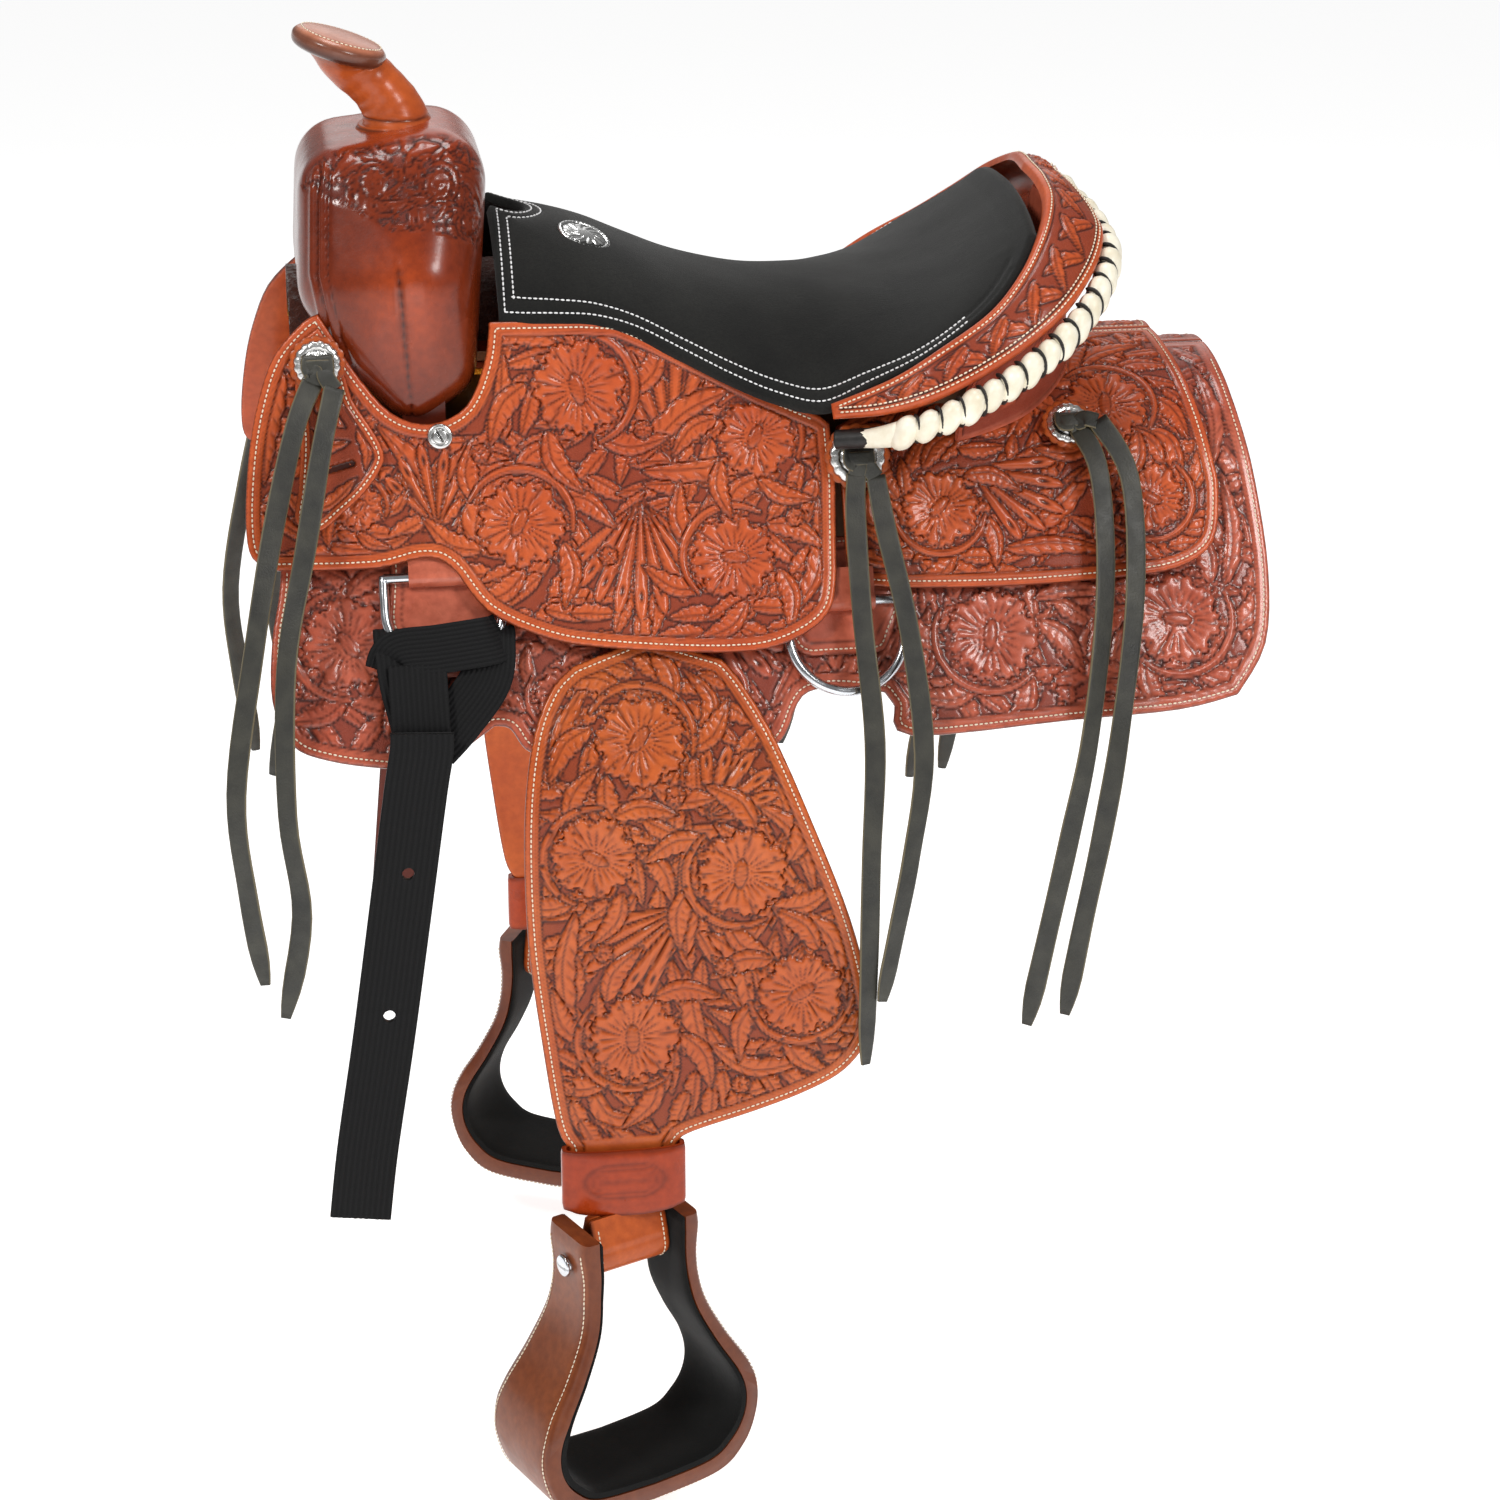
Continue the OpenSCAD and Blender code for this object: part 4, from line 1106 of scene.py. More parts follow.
def fender():
    sheet = Sheet(np.asarray(FENDER_PATH))
    front = smooth([[-112, -146], [-128, -160], [-142, -190], [-149.5, -240], [-149.5, -320], [-142, -395],
                    [-134, -452], [-126, -469]], 5)
    back = smooth([[-54, -478], [-53, -469], [-42, -462], [0, -450], [35, -438], [61, -424], [77, -402],
                   [79, -376], [65, -316], [39, -245], [17, -192], [-2, -160], [-14, -146]], 5)
    out = sheet.flat_all(np.concatenate([[[-104, -118], [-90, -86], [-40, -86], [-22, -118]][::-1][::-1],
                                         front,
                                         [[-124, -514], [-56, -514]], back]))
    F = sheet.flat
    flowers = [(F(-72, -190), 29, 0.3), (F(-104, -264), 27, 2.0), (F(-8, -280), 29, 4.0),
               (F(-82, -392), 29, 1.0),
               (F(32, -366), 28, 3.0)]

    def relief(p, sd):
        c = Carving(p, sd, 9.5)
        c.fill(20, [f[0] for f in flowers])
        c.fan(F(-44, -300), F(-110, -350), 55, 6, 6.0)
        c.fan(F(-30, -240), F(10, -205), 90, 6, 5.5)
        c.leaf([F(-45, -335), F(-45, -290), F(-42, -235)], 9, 7, 1)
        c.leaf([F(-30, -320), F(-10, -340), F(0, -390)], 9, 5, 1)
        c.leaf([F(-118, -300), F(-128, -340), F(-122, -400)], 9, 6, -1)
        c.leaf([F(-30, -400), F(0, -420), F(45, -412)], 9, 6, -1)
        c.leaf([F(-110, -420), F(-100, -445), F(-70, -452)], 8, 4, 1)
        c.leaf([F(-132, -215), F(-122, -180), F(-100, -152)], 8, 5, 1)
        c.leaf([F(-30, -200), F(-22, -170), F(-40, -150)], 8, 5, -1)
        c.leaf([F(30, -310), F(52, -330), F(62, -375)], 8, 5, -1)
        c.leaf([F(-45, -345), F(-40, -380), F(-30, -430)], 9, 6, 1)
        c.leaf([F(5, -235), F(28, -255), F(42, -300)], 8, 5, -1)
        for k, (at, r, a) in enumerate(flowers):
            c.scroll(at, r, a, 1 if k % 2 else -1, 6)
        for at, r, a in flowers:
            c.pits(at, r, a, 18)
        for k, (x, z) in enumerate(((-50, -225), (-20, -345), (-100, -330), (-128, -425), (-10, -430))):
            c.flower(F(x, z), 6.5, k, 5)
        low = F(0, -463)[1]
        keep = (p[:, 1] < low) & (p[:, 1] > F(0, -128)[1])
        c.h, c.bg, c.cut = np.where(keep, c.h, 0), np.where(keep, c.bg, 0), np.where(keep, c.cut, 0)
        return c.finish()

    return panel("fender_panel", "", sheet, out, relief, 4.6, 1.45, M["fender"], "tooled_leather",
                 blend=True,
                 top_open=lambda q: (q[:, 1] < F(0, -128)[1]) | (q[:, 1] > F(0, -470)[1]))


# ------------------------------------------------------------ seat and cantle

STATIONS = np.array([
    [-150, 88, 63, 128], [-134, 90, 63, 122], [-110, 91, 63, 115], [-86, 92, 62, 106], [-60, 95, 55, 94],
    [-30, 101, 40, 81], [0, 110, 25, 72], [30, 119, 13, 67], [60, 127, 8, 66], [90, 138, 26, 66],
    [120, 145, 44, 68], [150, 142, 64, 80], [175, 130, 82, 98], [195, 108, 102, 118],
    [206, 88, 118, 132]], float)
SEAT = smooth(STATIONS, 8)


def seat_z(x, y):
    w, e, c = (np.interp(x, SEAT[:, 0], SEAT[:, k]) for k in (1, 2, 3))
    u = np.clip(np.abs(y) / w, 0, 1)
    return e + (c - e) * (1 - u ** 2.3)


def lumps(p, size, seed=0.0):
    """A smooth repeatable unevenness between -1 and 1."""
    x, y, z = (p[:, k] / size for k in range(3))
    s = seed
    return (np.sin(1.7 * x + 1.1 * y + s) + np.sin(2.3 * y - 1.3 * z + 2 * s)
            + np.sin(1.9 * z + 1.5 * x + 3 * s)
            + 0.6 * np.sin(3.7 * x - 2.9 * z + s) + 0.6 * np.sin(4.1 * y + 3.3 * x + 5 * s)) / 4.2


def seat_cover():
    xs = np.linspace(-149, 203, 120)
    w = np.interp(xs, SEAT[:, 0], SEAT[:, 1]) - 0.6
    left = np.stack([xs, -w], 1)
    right = np.stack([xs[::-1], w[::-1]], 1)
    a = np.radians(np.linspace(-90, 90, 19))
    hole = np.stack([-141 + 17 * np.cos(a), 17 * np.sin(a)], 1)
    notch = np.array([[-149.0, 17.0], *hole[::-1], [-149.0, -17.0]])
    out = np.concatenate([left, right, notch])
    p, tri, sd = grid_inside(out, 2.1)
    z = seat_z(p[:, 0], p[:, 1])
    e = 1.0
    dx = (seat_z(p[:, 0] + e, p[:, 1]) - seat_z(p[:, 0] - e, p[:, 1])) / (2 * e)
    dy = (seat_z(p[:, 0], p[:, 1] + e) - seat_z(p[:, 0], p[:, 1] - e)) / (2 * e)
    dy = np.clip(dy, -1.6, 1.6)
    n = unit(np.stack([-dx, -dy, np.ones(len(p))], 1))
    base = np.stack([p[:, 0], p[:, 1], z], 1)
    rear = p[:, 0] > 186
    pad = 3.2 * (1 - np.exp(-np.maximum(sd - 11, 0) / 16)) + 0.5 * lumps(base, 34, 1.0)
    h = 1.5 + pad - 1.6 * (1 - np.clip(sd / 2.2, 0, 1)) ** 2
    cut = np.zeros(len(p))
    for d in (4.2, 10.4):
        g = np.exp(-((sd - d) / 1.1) ** 2) * ~rear
        h = h - 0.9 * g
        cut = np.maximum(cut, 0.6 * g)
    top = base + n * h[:, None]
    low = base - n * 5.0
    m = len(p)
    edges = rim_edges(tri)
    walls = np.stack([edges[:, 1], edges[:, 0], edges[:, 0] + m, edges[:, 1] + m], 1)
    o = build("seat_padding", "saddle", M["suede"], np.r_[top, low], [tri, tri[:, ::-1] + m, walls], None,
              "suede",
              sharp=70)
    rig.padded(o, fill=0.85)
    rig.replaces(o, "seat_cover")
    rows = []
    for d in (4.2, 10.4):
        q = inset(out, d)
        for run in runs(q, q[:, 0] < 150):
            run = resample(run, 2.0)
            zz = seat_z(run[:, 0], run[:, 1])
            gx = (seat_z(run[:, 0] + 1, run[:, 1]) - seat_z(run[:, 0] - 1, run[:, 1])) / 2
            gy = np.clip((seat_z(run[:, 0], run[:, 1] + 1) - seat_z(run[:, 0], run[:, 1] - 1)) / 2, -1.6,
                         1.6)
            nn = unit(np.stack([-gx, -gy, np.ones(len(run))], 1))
            rows.append(stitches(np.c_[run, zz] + nn * 1.1, nn, 3.6, 2.6, 0.62))
    v, f, _ = join(rows)
    build("seat_stitches", "saddle", M["white_thread"], v, f)
    badge()


def disc(center, normal, tangent, rx, ry, profile, rim=None, rings=26, sides=96):
    """A round relief: profile(rel, angle) gives its height, and rim(angle) the shape of its edge."""
    r, a = np.linspace(0, 1, rings)[1:], np.linspace(0, TAU, sides, endpoint=False)
    R, A = np.meshgrid(r, a, indexing="ij")
    edge = rim(A) if rim else 1.0
    h, cut = profile(R, A)
    n = unit(np.asarray(normal, float))
    t = np.asarray(tangent, float)
    t = unit(t - n * (t @ n))
    b = np.cross(n, t)
    c = np.asarray(center, float)
    x, y = rx * R * edge * np.cos(A), ry * R * edge * np.sin(A)
    v = c + x[..., None] * t + y[..., None] * b + h[..., None] * n
    v, f = loft(v, caps=False)
    h0, cut0 = profile(np.zeros((1, 1)), np.zeros((1, 1)))
    tip, foot = len(v), len(v) + 1
    low = np.asarray([c + n * h0[0, 0], c - n * 1.0])
    first, last = np.arange(sides), np.arange(sides) + (rings - 2) * sides
    v = np.concatenate([v, low])
    tris = np.concatenate([np.stack([first, np.roll(first, -1), np.full(sides, tip)], 1)[:, ::-1],
                           np.stack([last, np.roll(last, -1), np.full(sides, foot)], 1)])
    return v, [f[0][:, ::-1], tris[:, ::-1]], {"cut": np.r_[cut.ravel(), cut0.ravel(), 0]}


def badge():
    def profile(r, a):
        leafy = 0.5 + 0.5 * np.cos(12 * a + 9 * r)
        h = 2.0 + 1.6 * (1 - r ** 2) - 0.7 * leafy ** 2 * ss(r, 0.25, 0.4) * (1 - ss(r, 0.74, 0.8))
        bead = (0.5 + 0.5 * np.cos(36 * a)) * np.exp(-((r - 0.9) / 0.06) ** 2)
        h = h + 0.8 * bead - 0.9 * np.exp(-((r - 0.8) / 0.03) ** 2) - 1.9 * ss(r, 0.95, 1.0)
        return h, np.clip(0.55 * (1 - leafy) ** 2 * ss(r, 0.25, 0.4) * (1 - ss(r, 0.74, 0.8))
                          + 0.8 * np.exp(-((r - 0.8) / 0.03) ** 2), 0, 1)
    z = float(seat_z(np.array([-88.0]), np.array([-32.0]))[0])
    v, f, at = disc((-88, -32, z + 3.2), (0.36, -0.42, 0.9), (1, 0, -0.38), 19, 13, profile)
    o = build("badge_oval", "saddle", M["silver"], v, f, at, "silver")
    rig.replaces(o, "seat_badge")


RIM_IN = smooth([[216, 0, 140], [218, -35, 138], [217, -65, 131], [207, -96, 117], [190, -122, 97],
                 [166, -142, 76], [133, -151, 56], [100, -148, 35], [62, -134, 15]], 8)
RIM_OUT = smooth([[240, 0, 131], [247, -30, 126], [254, -62, 115], [252, -88, 107], [239, -116, 92],
                  [216, -141, 73], [185, -156, 53], [152, -164, 36], [120, -164, 22], [92, -153, 12],
                  [63, -138, 6]], 8)


def whole_rim(p):
    return np.concatenate([p[:0:-1] * (1, -1, 1), p])


def front_only(value, n, m):
    """An attribute for a capped loft whose rings hold m carved points and then m plain ones."""
    return np.r_[np.concatenate([value.reshape(n, m), np.zeros((n, m))], 1).ravel(), 0, 0]


def cantle():
    n = 420
    a = resample(whole_rim(RIM_IN), 1.0)
    b = resample(whole_rim(RIM_OUT), 1.0)
    k = np.linspace(0, 1, n)
    a = np.stack([np.interp(k, np.linspace(0, 1, len(a)), a[:, i]) for i in range(3)], 1)
    b = np.stack([np.interp(k, np.linspace(0, 1, len(b)), b[:, i]) for i in range(3)], 1)
    mid = (a + b) / 2
    t = tangents(mid)
    across = unit(b - a)
    up = unit(np.cross(across, t))
    up = up * np.sign(up[:, 2:3])
    along = travel(mid)
    width = np.linalg.norm(b - a, axis=1)
    m = 44
    f = np.linspace(0, 1, m)
    S, F = np.meshgrid(along, f, indexing="ij")
    P = np.stack([S.ravel(), (F * width[:, None]).ravel()], 1)
    end = np.minimum(along, along[-1] - along)
    sd = np.minimum(np.minimum(F, 1 - F) * width[:, None], end[:, None]).ravel()
    c = Carving(P, sd, 6.0, -0.6)
    total = along[-1]
    half = total / 2
    for s in (-1, 1):
        for j in range(9):
            x = half + s * (14 + j * (half - 20) / 9)
            w = np.interp(x, along, width)
            if w > 15:
                c.leaf([[x, w * 0.78], [x + s * 12, w * 0.5], [x + s * 30, w * 0.32]], 6.5, 4, -s)
                c.leaf([[x + s * 4, w * 0.25], [x + s * 20, w * 0.45], [x + s * 32, w * 0.75]], 5.5, 4, s)
    c.flower([half, np.interp(half, along, width) / 2], 9, 0.3, 5)
    h, bg, cut = c.finish()
    dome = 3.4 * np.sin(np.pi * np.clip(F, 0, 1)) ** 0.8 * ss(end, -2, 24)[:, None]
    drop = -1.6 * (1 - np.clip(sd.reshape(n, m) / 2.0, 0, 1)) ** 2
    H = dome + 0.75 * h.reshape(n, m) + drop
    top = a[:, None] + (b - a)[:, None] * F[..., None] + up[:, None] * H[..., None]
    under = a[:, None] + (b - a)[:, None] * F[..., None] - up[:, None] * 6.0
    ring = np.concatenate([top, under[:, ::-1]], 1)
    v, faces = loft(ring)
    at = {"bg": front_only(bg, n, m), "cut": front_only(cut, n, m)}
    o = build("cantle_binding", "saddle", M["tooled"], v, [q[:, ::-1] for q in faces], at,
              "tooled_leather", sharp=65)
    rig.replaces(o, "cantle_roll")
    rows = []
    for off, side in ((4.0, 1), (7.0, 1), (3.6, 0)):
        fr = (1 - off / width) if side else off / width
        ok = (width > 12) & (end > 6)
        line = a + (b - a) * fr[:, None] + up * (3.4 * np.sin(np.pi * fr) ** 0.8 * ss(end, -2, 24)
                + 0.1)[:, None]
        rows.append(stitches(line[ok], up[ok], 3.5, 2.4, 0.55))
    v, f2, _ = join(rows)
    build("cantle_stitches", "saddle", M["thread"], v, f2)
    lacing(b)
    cantle_wall(b)


def lacing(b):
    """Rawhide lumps with a thong between them, along the cantle's outer rim b."""
    out = unit((b - np.array([90, 0, 0])) * (1, 1, 0))
    core = b + (3, 0, -14.5) - out * 0.5
    core = resample(core, 1.0)
    t = tangents(core)
    o = unit((core - np.array([90, 0, 0])) * (1, 1, 0))
    v, f = tube(core, 6.6, o, 14)
    build("lacing_core", "saddle", M["lace"], v, f, None, "rawhide")
    dist = travel(core)
    total = dist[-1]
    pitch = 15.2
    count = int((total - 66) // pitch)
    start = (total - pitch * (count - 1)) / 2
    parts, laces = [], []
    u0 = np.linspace(-1, 1, 15)
    ang = np.linspace(0, TAU, 20, endpoint=False)
    for k in range(count):
        s = start + k * pitch
        c, tt, oo = (np.array([np.interp(s, dist, q[:, i]) for i in range(3)]) for q in (core, t, o))
        oo = unit(oo - tt * (tt @ oo))
        dn = np.cross(tt, oo)
        dn = dn * -np.sign(dn[2])
        hand = -1 if s < total / 2 else 1
        axis = unit(tt * 0.80 * hand + dn * 0.62)
        b2 = unit(np.cross(axis, oo))
        size = 1 + 0.06 * math.sin(k * 2.3)
        rad = np.sqrt(np.clip(1 - np.abs(u0) ** 2.6, 0.0, 1)) + 0.02
        ring = (c + oo * 1.6 + u0[:, None, None] * 12.6 * size * axis
                + rad[:, None, None] * (7.9 * size * np.cos(ang)[None, :, None] * b2
                                        + 8.2 * np.sin(ang)[None, :, None] * oo))
        crease = 0.5 * np.cos(ang * 3 + k)[None, :, None] * rad[:, None, None]
        ring = ring + crease * oo * 0.5
        parts.append(loft(ring))
        mid_s = s + pitch / 2
        if k < count - 1:
            c, tt, oo = (np.array([np.interp(mid_s, dist, q[:, i]) for i in range(3)]) for q in (core, t,
                    o))
            dn = np.cross(tt, oo)
            dn = dn * -np.sign(dn[2])
            w = np.radians(np.linspace(-115, 115, 17))
            path = c + np.cos(w)[:, None] * oo * 7.4 - np.sin(w)[:, None] * dn * 9.2 + \
                np.sin(w)[:, None] * tt * -hand * 3.4
            laces.append(tube(path, 1.7, tt, 8, 0.6))
    v, f, _ = join(parts)
    piece = build("lacing_rawhide", "saddle", M["rawhide"], v, f, None, "rawhide")
    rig.replaces(piece, "cantle_lacing")
    v, f, _ = join(laces)
    build("lacing_thong", "saddle", M["lace"], v, f, None, "rawhide")
    ends = []
    for s0, s1 in ((1.0, start - 4), (total - 1.0, total - start + 4)):
        s = np.linspace(s0, s1, 16)
        p = np.stack([np.interp(s, dist, core[:, i]) for i in range(3)], 1)
        q = np.stack([np.interp(s, dist, o[:, i]) for i in range(3)], 1)
        grow = np.linspace(0.35, 1, 16) ** 0.7
        ends.append(tube(p + q * 1.5, 8.6 * grow, q, 14, 0.8))
    v, f, _ = join(ends)
    build("lacing_ends", "saddle", M["rawhide"], v, f, None, "rawhide")


def cantle_wall(b):
    """The tooled back of the cantle, under its outer rim b."""
    n = len(b)
    keep = slice(int(n * 0.16), int(n * 0.84) + 1)
    top = b[keep]
    o = unit((top - np.array([90, 0, 0])) * (1, 1, 0))
    p = top - o * 15 + (0, 0, -8)
    y = p[:, 1] * 0.68
    h = 21.0 + 1.4
    zq = -ARCH_R + np.sqrt((ARCH_R + h) ** 2 - y ** 2)
    q = np.stack([p[:, 0] - 1, y, zq], 1) - o * 1
    m = 26
    f = np.linspace(0, 1, m)
    k = len(p)
    mid = (p + q) / 2
    along = travel(mid)
    tall = np.linalg.norm(p - q, axis=1)
    S, F = np.meshgrid(along, f, indexing="ij")
    P = np.stack([S.ravel(), (F * tall[:, None]).ravel()], 1)
    sd = np.minimum(np.minimum(F, 1 - F) * tall[:, None],
                    np.minimum(along, along[-1] - along)[:, None]).ravel()
    c = Carving(P, sd, 4.0, -0.5)
    for j in range(12):
        x = along[-1] * (j + 0.5) / 12
        t = np.interp(x, along, tall)
        hand = 1 if j % 2 else -1
        c.leaf([[x - 14 * hand, t * 0.75], [x, t * 0.5], [x + 14 * hand, t * 0.25]], 0.2 * t, 4, hand)
    c.flower([along[-1] / 2, np.interp(along[-1] / 2, along, tall) / 2], 0.28 * tall.max(), 0.2, 6)
    hh, bg, cut = c.finish()
    face = p[:, None] + (q - p)[:, None] * F[..., None] + o[:, None] * (hh.reshape(k, m) * 0.7
            - 5 * np.sin(np.pi * F))[..., None]
    rear = face - o[:, None] * 3.0
    v, faces = loft(np.concatenate([face, rear[:, ::-1]], 1))
    at = {"bg": front_only(bg, k, m), "cut": front_only(cut, k, m)}
    piece = build("cantle_wall", "saddle", M["dark_tooled"], v, faces, at, "tooled_leather", sharp=65)
    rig.replaces(piece, "cantle_back")


# ------------------------------------------------------------ swell and horn

def swell():
    pts = []
    for x, y, z, r in ((-243, 42, 143, 32), (-186, 36, 148, 34.5), (-242, 61, 88, 36), (-199, 69, 90, 37.5),
                       (-226, 71, 54, 30), (-191, 75, 38, 28), (-206, 79, 22, 22)):
        a, b = np.meshgrid(np.linspace(0, TAU, 28, endpoint=False),
                           np.linspace(-math.pi / 2, math.pi / 2, 15))
        s = np.stack([np.cos(b) * np.cos(a), np.cos(b) * np.sin(a), np.sin(b)], -1).reshape(-1, 3)
        for side in (-1, 1):
            pts.append(s * r + (x, y * side, z))
    pts = np.concatenate(pts) * 0.001
    bm = bmesh.new()
    for p in pts:
        bm.verts.new(p)
    bmesh.ops.convex_hull(bm, input=bm.verts)
    loose = [v for v in bm.verts if not v.link_faces]
    bmesh.ops.delete(bm, geom=loose, context="VERTS")
    me = bpy.data.meshes.new("swell_leather")
    bm.to_mesh(me)
    bm.free()
    o = bpy.data.objects.new("swell_leather", me)
    bpy.context.scene.collection.objects.link(o)
    tunnel = tunnel_cutter()
    rem = o.modifiers.new("remesh", "REMESH")
    rem.mode = "VOXEL"
    rem.voxel_size = 0.0019
    sm = o.modifiers.new("smooth", "SMOOTH")
    sm.iterations = 34
    sm.factor = 0.6
    cut = o.modifiers.new("cut", "BOOLEAN")
    cut.operation = "DIFFERENCE"
    cut.solver = "EXACT"
    cut.object = tunnel
    bpy.context.view_layer.update()
    done = bpy.data.meshes.new_from_object(o.evaluated_get(bpy.context.evaluated_depsgraph_get()))
    o.modifiers.clear()
    o.data = done
    bpy.data.objects.remove(tunnel)
    v = np.empty(len(done.vertices) * 3, np.float32)
    done.vertices.foreach_get("co", v)
    v = v.reshape(-1, 3).astype(float) * 1000
    n = np.empty(len(done.vertices) * 3, np.float32)
    done.vertices.foreach_get("normal", n)
    n = n.reshape(-1, 3).astype(float)
    shell = np.hypot(v[:, 1] / 1.0, v[:, 2] - 42) > 50.5
    shell = shell | ((np.abs(v[:, 1]) > 50) & (v[:, 2] < 42))
    flat = np.stack([v[:, 0], v[:, 2]], 1)
    side = np.abs(n[:, 1])
    c = Carving(flat, np.full(len(v), 99.0), 9.0, 0.0)
    lo = np.interp(v[:, 0], [-262, -240, -215, -190, -166, -150], [150, 142, 128, 128, 118, 96])
    c.sd = np.minimum(v[:, 2] - lo, 40)
    c.bg = (c.sd > 0).astype(float)
    c.h = np.where(c.sd > 0, -0.5, 0.0)
    c.fill(11, [(-226, 156), (-184, 154), (-164, 128)], 4.5)
    c.leaf([[-250, 160], [-236, 168], [-216, 166]], 7, 4, 1)
    c.leaf([[-240, 150], [-222, 142], [-204, 146]], 7, 4, -1)
    c.leaf([[-205, 166], [-190, 172], [-172, 166]], 7, 4, 1)
    c.leaf([[-172, 160], [-160, 150], [-156, 130]], 7, 4, 1)
    c.leaf([[-186, 140], [-172, 132], [-164, 112]], 6, 4, 1)
    c.leaf([[-196, 168], [-190, 150], [-176, 138]], 6, 4, -1)
    c.scroll([-226, 156], 8.5, 0.4, 1, 6)
    c.scroll([-184, 154], 9.5, 2.0, -1, 6)
    c.scroll([-164, 128], 7.0, 1.0, 1, 5)
    w = ss(side, 0.12, 0.4) * (c.sd > -0.5)
    h, bg, cut_and_shade = 0.6 * c.h * w, c.bg * w, c.cut * w
    wide = ss(side, 0.25, 0.6)
    welt_x = np.interp(v[:, 2], [20, 60, 100, 150, 178], [-240, -255, -262, -259, -254])
    d = v[:, 0] - welt_x
    welt = (v[:, 2] > 30) & (v[:, 2] < 182)
    ridge = (np.exp(-(d / 1.9) ** 2) + 0.8 * np.exp(-((d + 6.2) / 1.9) ** 2)) * wide * welt
    groove = (np.exp(-((d - 3.4) / 0.9) ** 2) + np.exp(-((d + 3.1) / 0.8) ** 2)) * wide * welt
    seam = np.exp(-((v[:, 0] + 213 + 0.06 * (v[:, 2] - 90)) / 1.6) ** 2) * ss(-v[:, 2], -118, -96) * wide
    pucker = 0.5 + 0.5 * np.cos(v[:, 2] * 0.9)
    near_seam = np.exp(-((v[:, 0] + 213 + 0.06 * (v[:, 2] - 90)) / 5.0) ** 2) * ss(-v[:, 2], -118,
            -96) * wide
    h = h + 2.0 * ridge - 1.0 * groove - 1.2 * seam * (0.6 + 0.4 * pucker) + 0.35 * near_seam
    cut_and_shade = np.maximum(cut_and_shade, np.clip(0.9 * groove + 0.7 * seam * (0.5 + 0.5 * pucker) + 0.3 * near_seam, 0,
                                    1))
    # Painted shade: the swell darkens away from its lit middle towards its edges and bottom, carried in the cut
    # attribute with the carved lines and seams.
    lit_middle = np.exp(-((v[:, 0] + 208) / 27) ** 2 - ((v[:, 2] - 84) / 46) ** 2)
    cut_and_shade = np.maximum(cut_and_shade, 0.62 * (1 - lit_middle) * ss(-v[:, 2], -185, -150))
    v = v + n * (h * shell)[:, None]
    done.vertices.foreach_set("co", (v * 0.001).astype(np.float32).ravel())
    for key, value in (("bg", bg * shell * 0.8), ("cut", cut_and_shade * shell), ("edge", (~shell) * 1.0)):
        at = done.attributes.new(key, "FLOAT", "POINT")
        at.data.foreach_set("value", value.astype(np.float32))
    done.polygons.foreach_set("use_smooth", np.ones(len(done.polygons), bool))
    done.materials.clear()
    done.materials.append(M["swell"])
    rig.ride(o, "saddle")
    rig.slot(o, "smooth_leather")
    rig.replaces(o, "swell_cover")
    horn()


def tunnel_cutter():
    a = np.linspace(0, math.pi, 33)
    ring = np.stack([50 * np.cos(a), 42 + 50 * np.sin(a)], 1)
    ring = np.concatenate([ring, [[-50, -60], [50, -60]]])
    rings = np.stack([np.c_[np.full(len(ring), x), ring] for x in (-330, -100)])
    v, f = loft(rings)
    me = bpy.data.meshes.new("cutter")
    me.from_pydata([tuple(q) for q in v * 0.001], [], [tuple(int(i) for i in q) for g in f for q in g])
    bm = bmesh.new()
    bm.from_mesh(me)
    bmesh.ops.recalc_face_normals(bm, faces=bm.faces)
    bm.to_mesh(me)
    bm.free()
    o = bpy.data.objects.new("cutter", me)
    bpy.context.scene.collection.objects.link(o)
    return o


CAP_TILT = 18  # degrees, judged on the photograph; cap_tilt in part.scad is steeper, at 35


